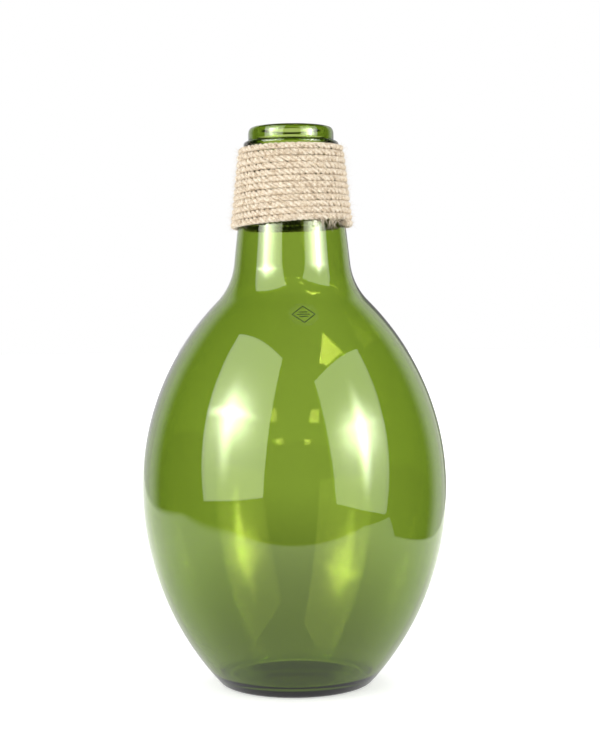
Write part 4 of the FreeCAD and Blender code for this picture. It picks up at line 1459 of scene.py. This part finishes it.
@dataclass
class Studio:
    """A white table and backdrop, two softboxes, soft lamps for the rope and the camera.

    The table's edges are given as distances from the bottle's axis. Its front left corner is cut off
    by a slanted edge, given also by the angle of the line square to it. A sheet of paper sticks out past
    the right edge, given by its reach and how far it lies in front of the axis.
    """

    front_edge: float = 0.405
    right_edge: float = 0.465
    left_edge: float = 0.88
    slanted_edge: float = 0.553
    slant: float = math.radians(57)
    sheet: Flat = (0.25, 0.27)
    sheet_fall: float = 8.0
    table_radii: tuple[float, ...] = (0.05, 0.5, 3.0, 12.0)
    table_around: int = 96
    # Painted light on the table: its glow in reflections (table_glow, near_glow, far_side, under_bottle) and
    # its painted shadow through the glass (shade, seen_under_bottle, shade_depth, shade_width).
    table_glow: float = 1.5
    near_glow: float = 0.9
    shade: float = 0.44
    paint: Colour = (0.9, 0.9, 0.9)
    paint_glow: float = 0.5
    edge_blur: Span = (-0.012, 0.012)
    slanted_blur: Span = (-0.06, 0.09)
    left_blur: Span = (-0.1, 0.1)
    far_side: Span = (0.08, 0.5)
    under_bottle: Span = (0.03, 0.1)
    seen_under_bottle: Span = (0.02, 0.055)
    shade_depth: Span = (0.1, 1.5)
    shade_width: Span = (0.03, 0.17)
    backdrop_glow: float = 0.9
    backdrop_edge: Span = (0.45, 0.72)
    flag: float = 0.7
    flag_left: Span = (0.03, 0.1)
    flag_right: Span = (0.32, 0.42)
    gap: float = 0.8
    gap_width: Span = (0.09, 0.17)
    gap_height: Span = (0.4, 0.52)
    room: float = 0.03
    inner_room: float = 0.1
    lens: float = 74.2
    sensor: float = 36.0
    far_clip: float = 50.0
    camera_place: Spot = (5.3 * MM, -1226.2 * MM, 289.8 * MM)
    camera_pitch: float = 0.0367
    camera_roll: float = 0.0106
    lamps: tuple[Lamp, ...] = (
        Lamp("lamp_left", (-0.9, -0.9, 0.95), 4.8),
        Lamp("lamp_right", (0.95, -0.95, 0.8), 1.3),
        Lamp("lamp_back", (0.3, 1.3, 1.3), 5.0),
    )
    # Painted glints, seen only in the inside's reflections off the far wall.
    sparks: tuple[Spark, ...] = (
        Spark(((-0.094, 0.02), (-0.161, 0.033), (-0.113, -0.049), (-0.085, -0.054)), 34.0),
        Spark(((0.095, -0.185), (0.08, -0.19), (0.086, -0.25), (0.12, -0.24)), 20.0),
        Spark(((-0.078, -0.198), (-0.114, -0.188), (-0.132, -0.246), (-0.076, -0.26)), 24.0),
        Spark(((0.135, -0.358), (0.08, -0.364), (0.075, -0.426), (0.128, -0.427)), 20.0),
        Spark(((-0.066, -0.378), (-0.122, -0.367), (-0.12, -0.42), (-0.086, -0.438)), 20.0),
    )
    softboxes: tuple[Softbox, ...] = (
        Softbox(
            Side.LEFT,
            ((-0.95, -0.06, 1.51), (-0.22, -0.88, 1.57), (-0.63, -1.55, 0.06), (-1.58, -0.64, -0.01)),
            (
                Glow((0.36, 0.48), 0.7, 0.055, 12.0),
                Glow((0.45, 0.5), 0.5, 0.26, 14.0),
                Glow((0.38, 0.58), 0.2, 0.45, 9.0),
                Glow((0.44, 0.52), 0.9, 0.5, 4.5),
            ),
        ),
        Softbox(
            Side.RIGHT,
            ((0.41, -1.06, 1.33), (1.11, -0.10, 1.39), (1.48, -0.57, -0.15), (0.79, -1.39, -0.02)),
            (
                Glow((0.54, 0.5), 0.6, 0.27, 13.0),
                Glow((0.57, 0.46), 0.7, 0.055, 4.0),
                Glow((0.57, 0.56), 0.18, 0.5, 18.0),
                Glow((0.5, 0.56), 0.9, 0.5, 4.5),
            ),
            cloth=3.1,
        ),
    )

    def world(self) -> None:
        """White wherever it is seen directly or through glass; in reflections, white behind and dark in
        front, as a backdrop and a dark room are. A grey flag stands at the backdrop's right, and the
        inside's own reflections also find a dark gap low in its middle."""
        world = bpy.data.worlds.new("studio")
        bpy.context.scene.world = world
        shader = Shader(world)
        reflected = shader.met_by(Ray.REFLECTED)
        inside = shader.met_by(Ray.THROUGH_GLASS)
        across, depth, up = shader.wire("ShaderNodeTexCoord", "Generated").split()
        flag = across.ramp(*self.flag_left) * (1 - across.ramp(*self.flag_right)) * self.flag
        gap = (1 - abs(across).ramp(*self.gap_width)) * (1 - up.ramp(*self.gap_height)) * self.gap
        lit = depth.ramp(*self.backdrop_edge) * self.backdrop_glow
        backdrop = lit * (1 - flag * (1 - inside)) * (1 - gap * inside)
        mirrored = backdrop + inside * self.inner_room + self.room
        strength = reflected * mirrored + (1 - reflected)
        shader.finish(shader.node("ShaderNodeBackground", sockets={"Color": WHITE, "Strength": strength}))

    def table_top(self, across: Wire, depth: Wire) -> Wire:
        """1 on the table and its sheet of paper, and 0 past their edges.

        Args:
            across: distance to the right of the bottle's axis.
            depth: distance behind it.

        Returns:
            The mask.
        """
        reach, middle = self.sheet
        sheet = (1 - abs(depth + middle) * self.sheet_fall).at_least(0.0)
        right = self.right_edge + sheet * reach - across
        slant = across * math.cos(self.slant) + depth * math.sin(self.slant)
        top = (depth + self.front_edge).ramp(*self.edge_blur) * right.ramp(*self.edge_blur)
        top = top * (slant + self.slanted_edge).ramp(*self.slanted_blur)
        return top * (across + self.left_edge).ramp(*self.left_blur)

    def table(self) -> bpy.types.Object:
        """The table: a wide pale disc. In reflections it is a painted glowing top that ends at the table's
        edge, dimmer under the bottle, and through the glass it carries a painted shadow behind the bottle,
        darkest under it.

        Returns:
            The table.
        """
        around = self.table_around
        angle = round_turn(around)
        circle = np.stack([np.cos(angle), np.sin(angle), np.zeros(around)], 1)
        points = np.concatenate([radius * circle for radius in self.table_radii] + [np.zeros((1, 3))])
        quads = grid_faces(len(self.table_radii), around)[:, ::-1]
        table = make_mesh("table", points, quads, fan(len(points) - 1, 0, around), smooth=False)

        shader = Shader(bpy.data.materials.new("table"))
        place = shader.wire("ShaderNodeTexCoord", "Object")
        across, depth, _ = place.split()
        from_axis = place.reach()
        # Painted reflection: seen in the glass, the top glows, dimmer near the bottle and half as bright
        # under it.
        mirrored = from_axis.ramp(*self.far_side) * (self.table_glow - self.near_glow) + self.near_glow
        mirrored = mirrored * (from_axis.ramp(*self.under_bottle) * 0.5 + 0.5)
        # Painted shadow: seen through the glass, the top is darker in a strip behind the bottle and nearly
        # black under its base.
        dim = (1 - depth.ramp(*self.shade_depth)) * (1 - abs(across).ramp(*self.shade_width))
        behind = 1 - dim * (1 - self.shade)
        behind = behind * (from_axis.ramp(*self.seen_under_bottle) * 0.9 + 0.1)
        paint = shader.principled(
            Base_Color=(*self.paint, 1.0),
            Roughness=0.9,
            Specular_IOR_Level=0.1,
            Emission_Color=WHITE,
            Emission_Strength=self.paint_glow,
        )
        direct = shader.mixed(paint, shader.emission(WHITE, behind), shader.met_by(Ray.THROUGH_GLASS))
        beyond = shader.node("ShaderNodeBsdfTransparent")
        ending = shader.mixed(beyond, shader.emission(WHITE, mirrored), self.table_top(across, depth))
        shader.finish(shader.mixed(direct, ending, shader.met_by(Ray.REFLECTED)))
        return set_up(table, shader)

    def camera(self) -> None:
        """The camera: in front, level with the shoulder, tipped down by two degrees and rolled by half of
        one. Its right and up directions are turned about the way ahead by the roll."""
        pitch, roll = self.camera_pitch, self.camera_roll
        right = Vector((1.0, 0.0, 0.0))
        ahead = Vector((0.0, math.cos(pitch), -math.sin(pitch)))
        up = Vector((0.0, math.sin(pitch), math.cos(pitch)))
        across = right * math.cos(roll) - up * math.sin(roll)
        upright = right * math.sin(roll) + up * math.cos(roll)
        data = bpy.data.cameras.new("camera")
        data.lens = self.lens
        data.sensor_width = self.sensor
        data.clip_end = self.far_clip
        camera = bpy.data.objects.new("camera", data)
        bpy.context.scene.collection.objects.link(camera)
        turn = Matrix((across, upright, -ahead)).transposed()
        camera.matrix_world = Matrix.Translation(self.camera_place) @ turn.to_4x4()
        bpy.context.scene.camera = camera

    def build(self) -> None:
        """Sets the studio up."""
        self.world()
        self.table()
        for softbox in self.softboxes:
            softbox.build()
        for number, spark in enumerate(self.sparks, 1):
            spark.build(number)
        for lamp in self.lamps:
            lamp.build()
        self.camera()
        bpy.context.scene.view_settings.view_transform = "Standard"


# ---------------------------------------------------------------- the whole


def report(piece: bpy.types.Object) -> None:
    """Says how large a piece's mesh is."""
    piece.data.calc_loop_triangles()
    log.info("%s: %d triangles", piece.name, len(piece.data.loop_triangles))


def main() -> None:
    """Builds the bottle, its rope and its label, gives the hot-melt beads, which stay as they are, their
    finish, and sets up the studio."""
    logging.basicConfig(level=logging.INFO, format="%(name)s: %(message)s")
    bottle = Bottle()
    for piece in (bottle.build(), *Winding(bottle).build(), *Label(bottle).build()):
        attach(piece, BODY)
        report(piece)
    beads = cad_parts["glue_beads"]
    HotMelt().dress(beads)
    report(beads)
    Studio().build()
    bpy.context.view_layer.update()


if __name__ == "__main__":
    main()
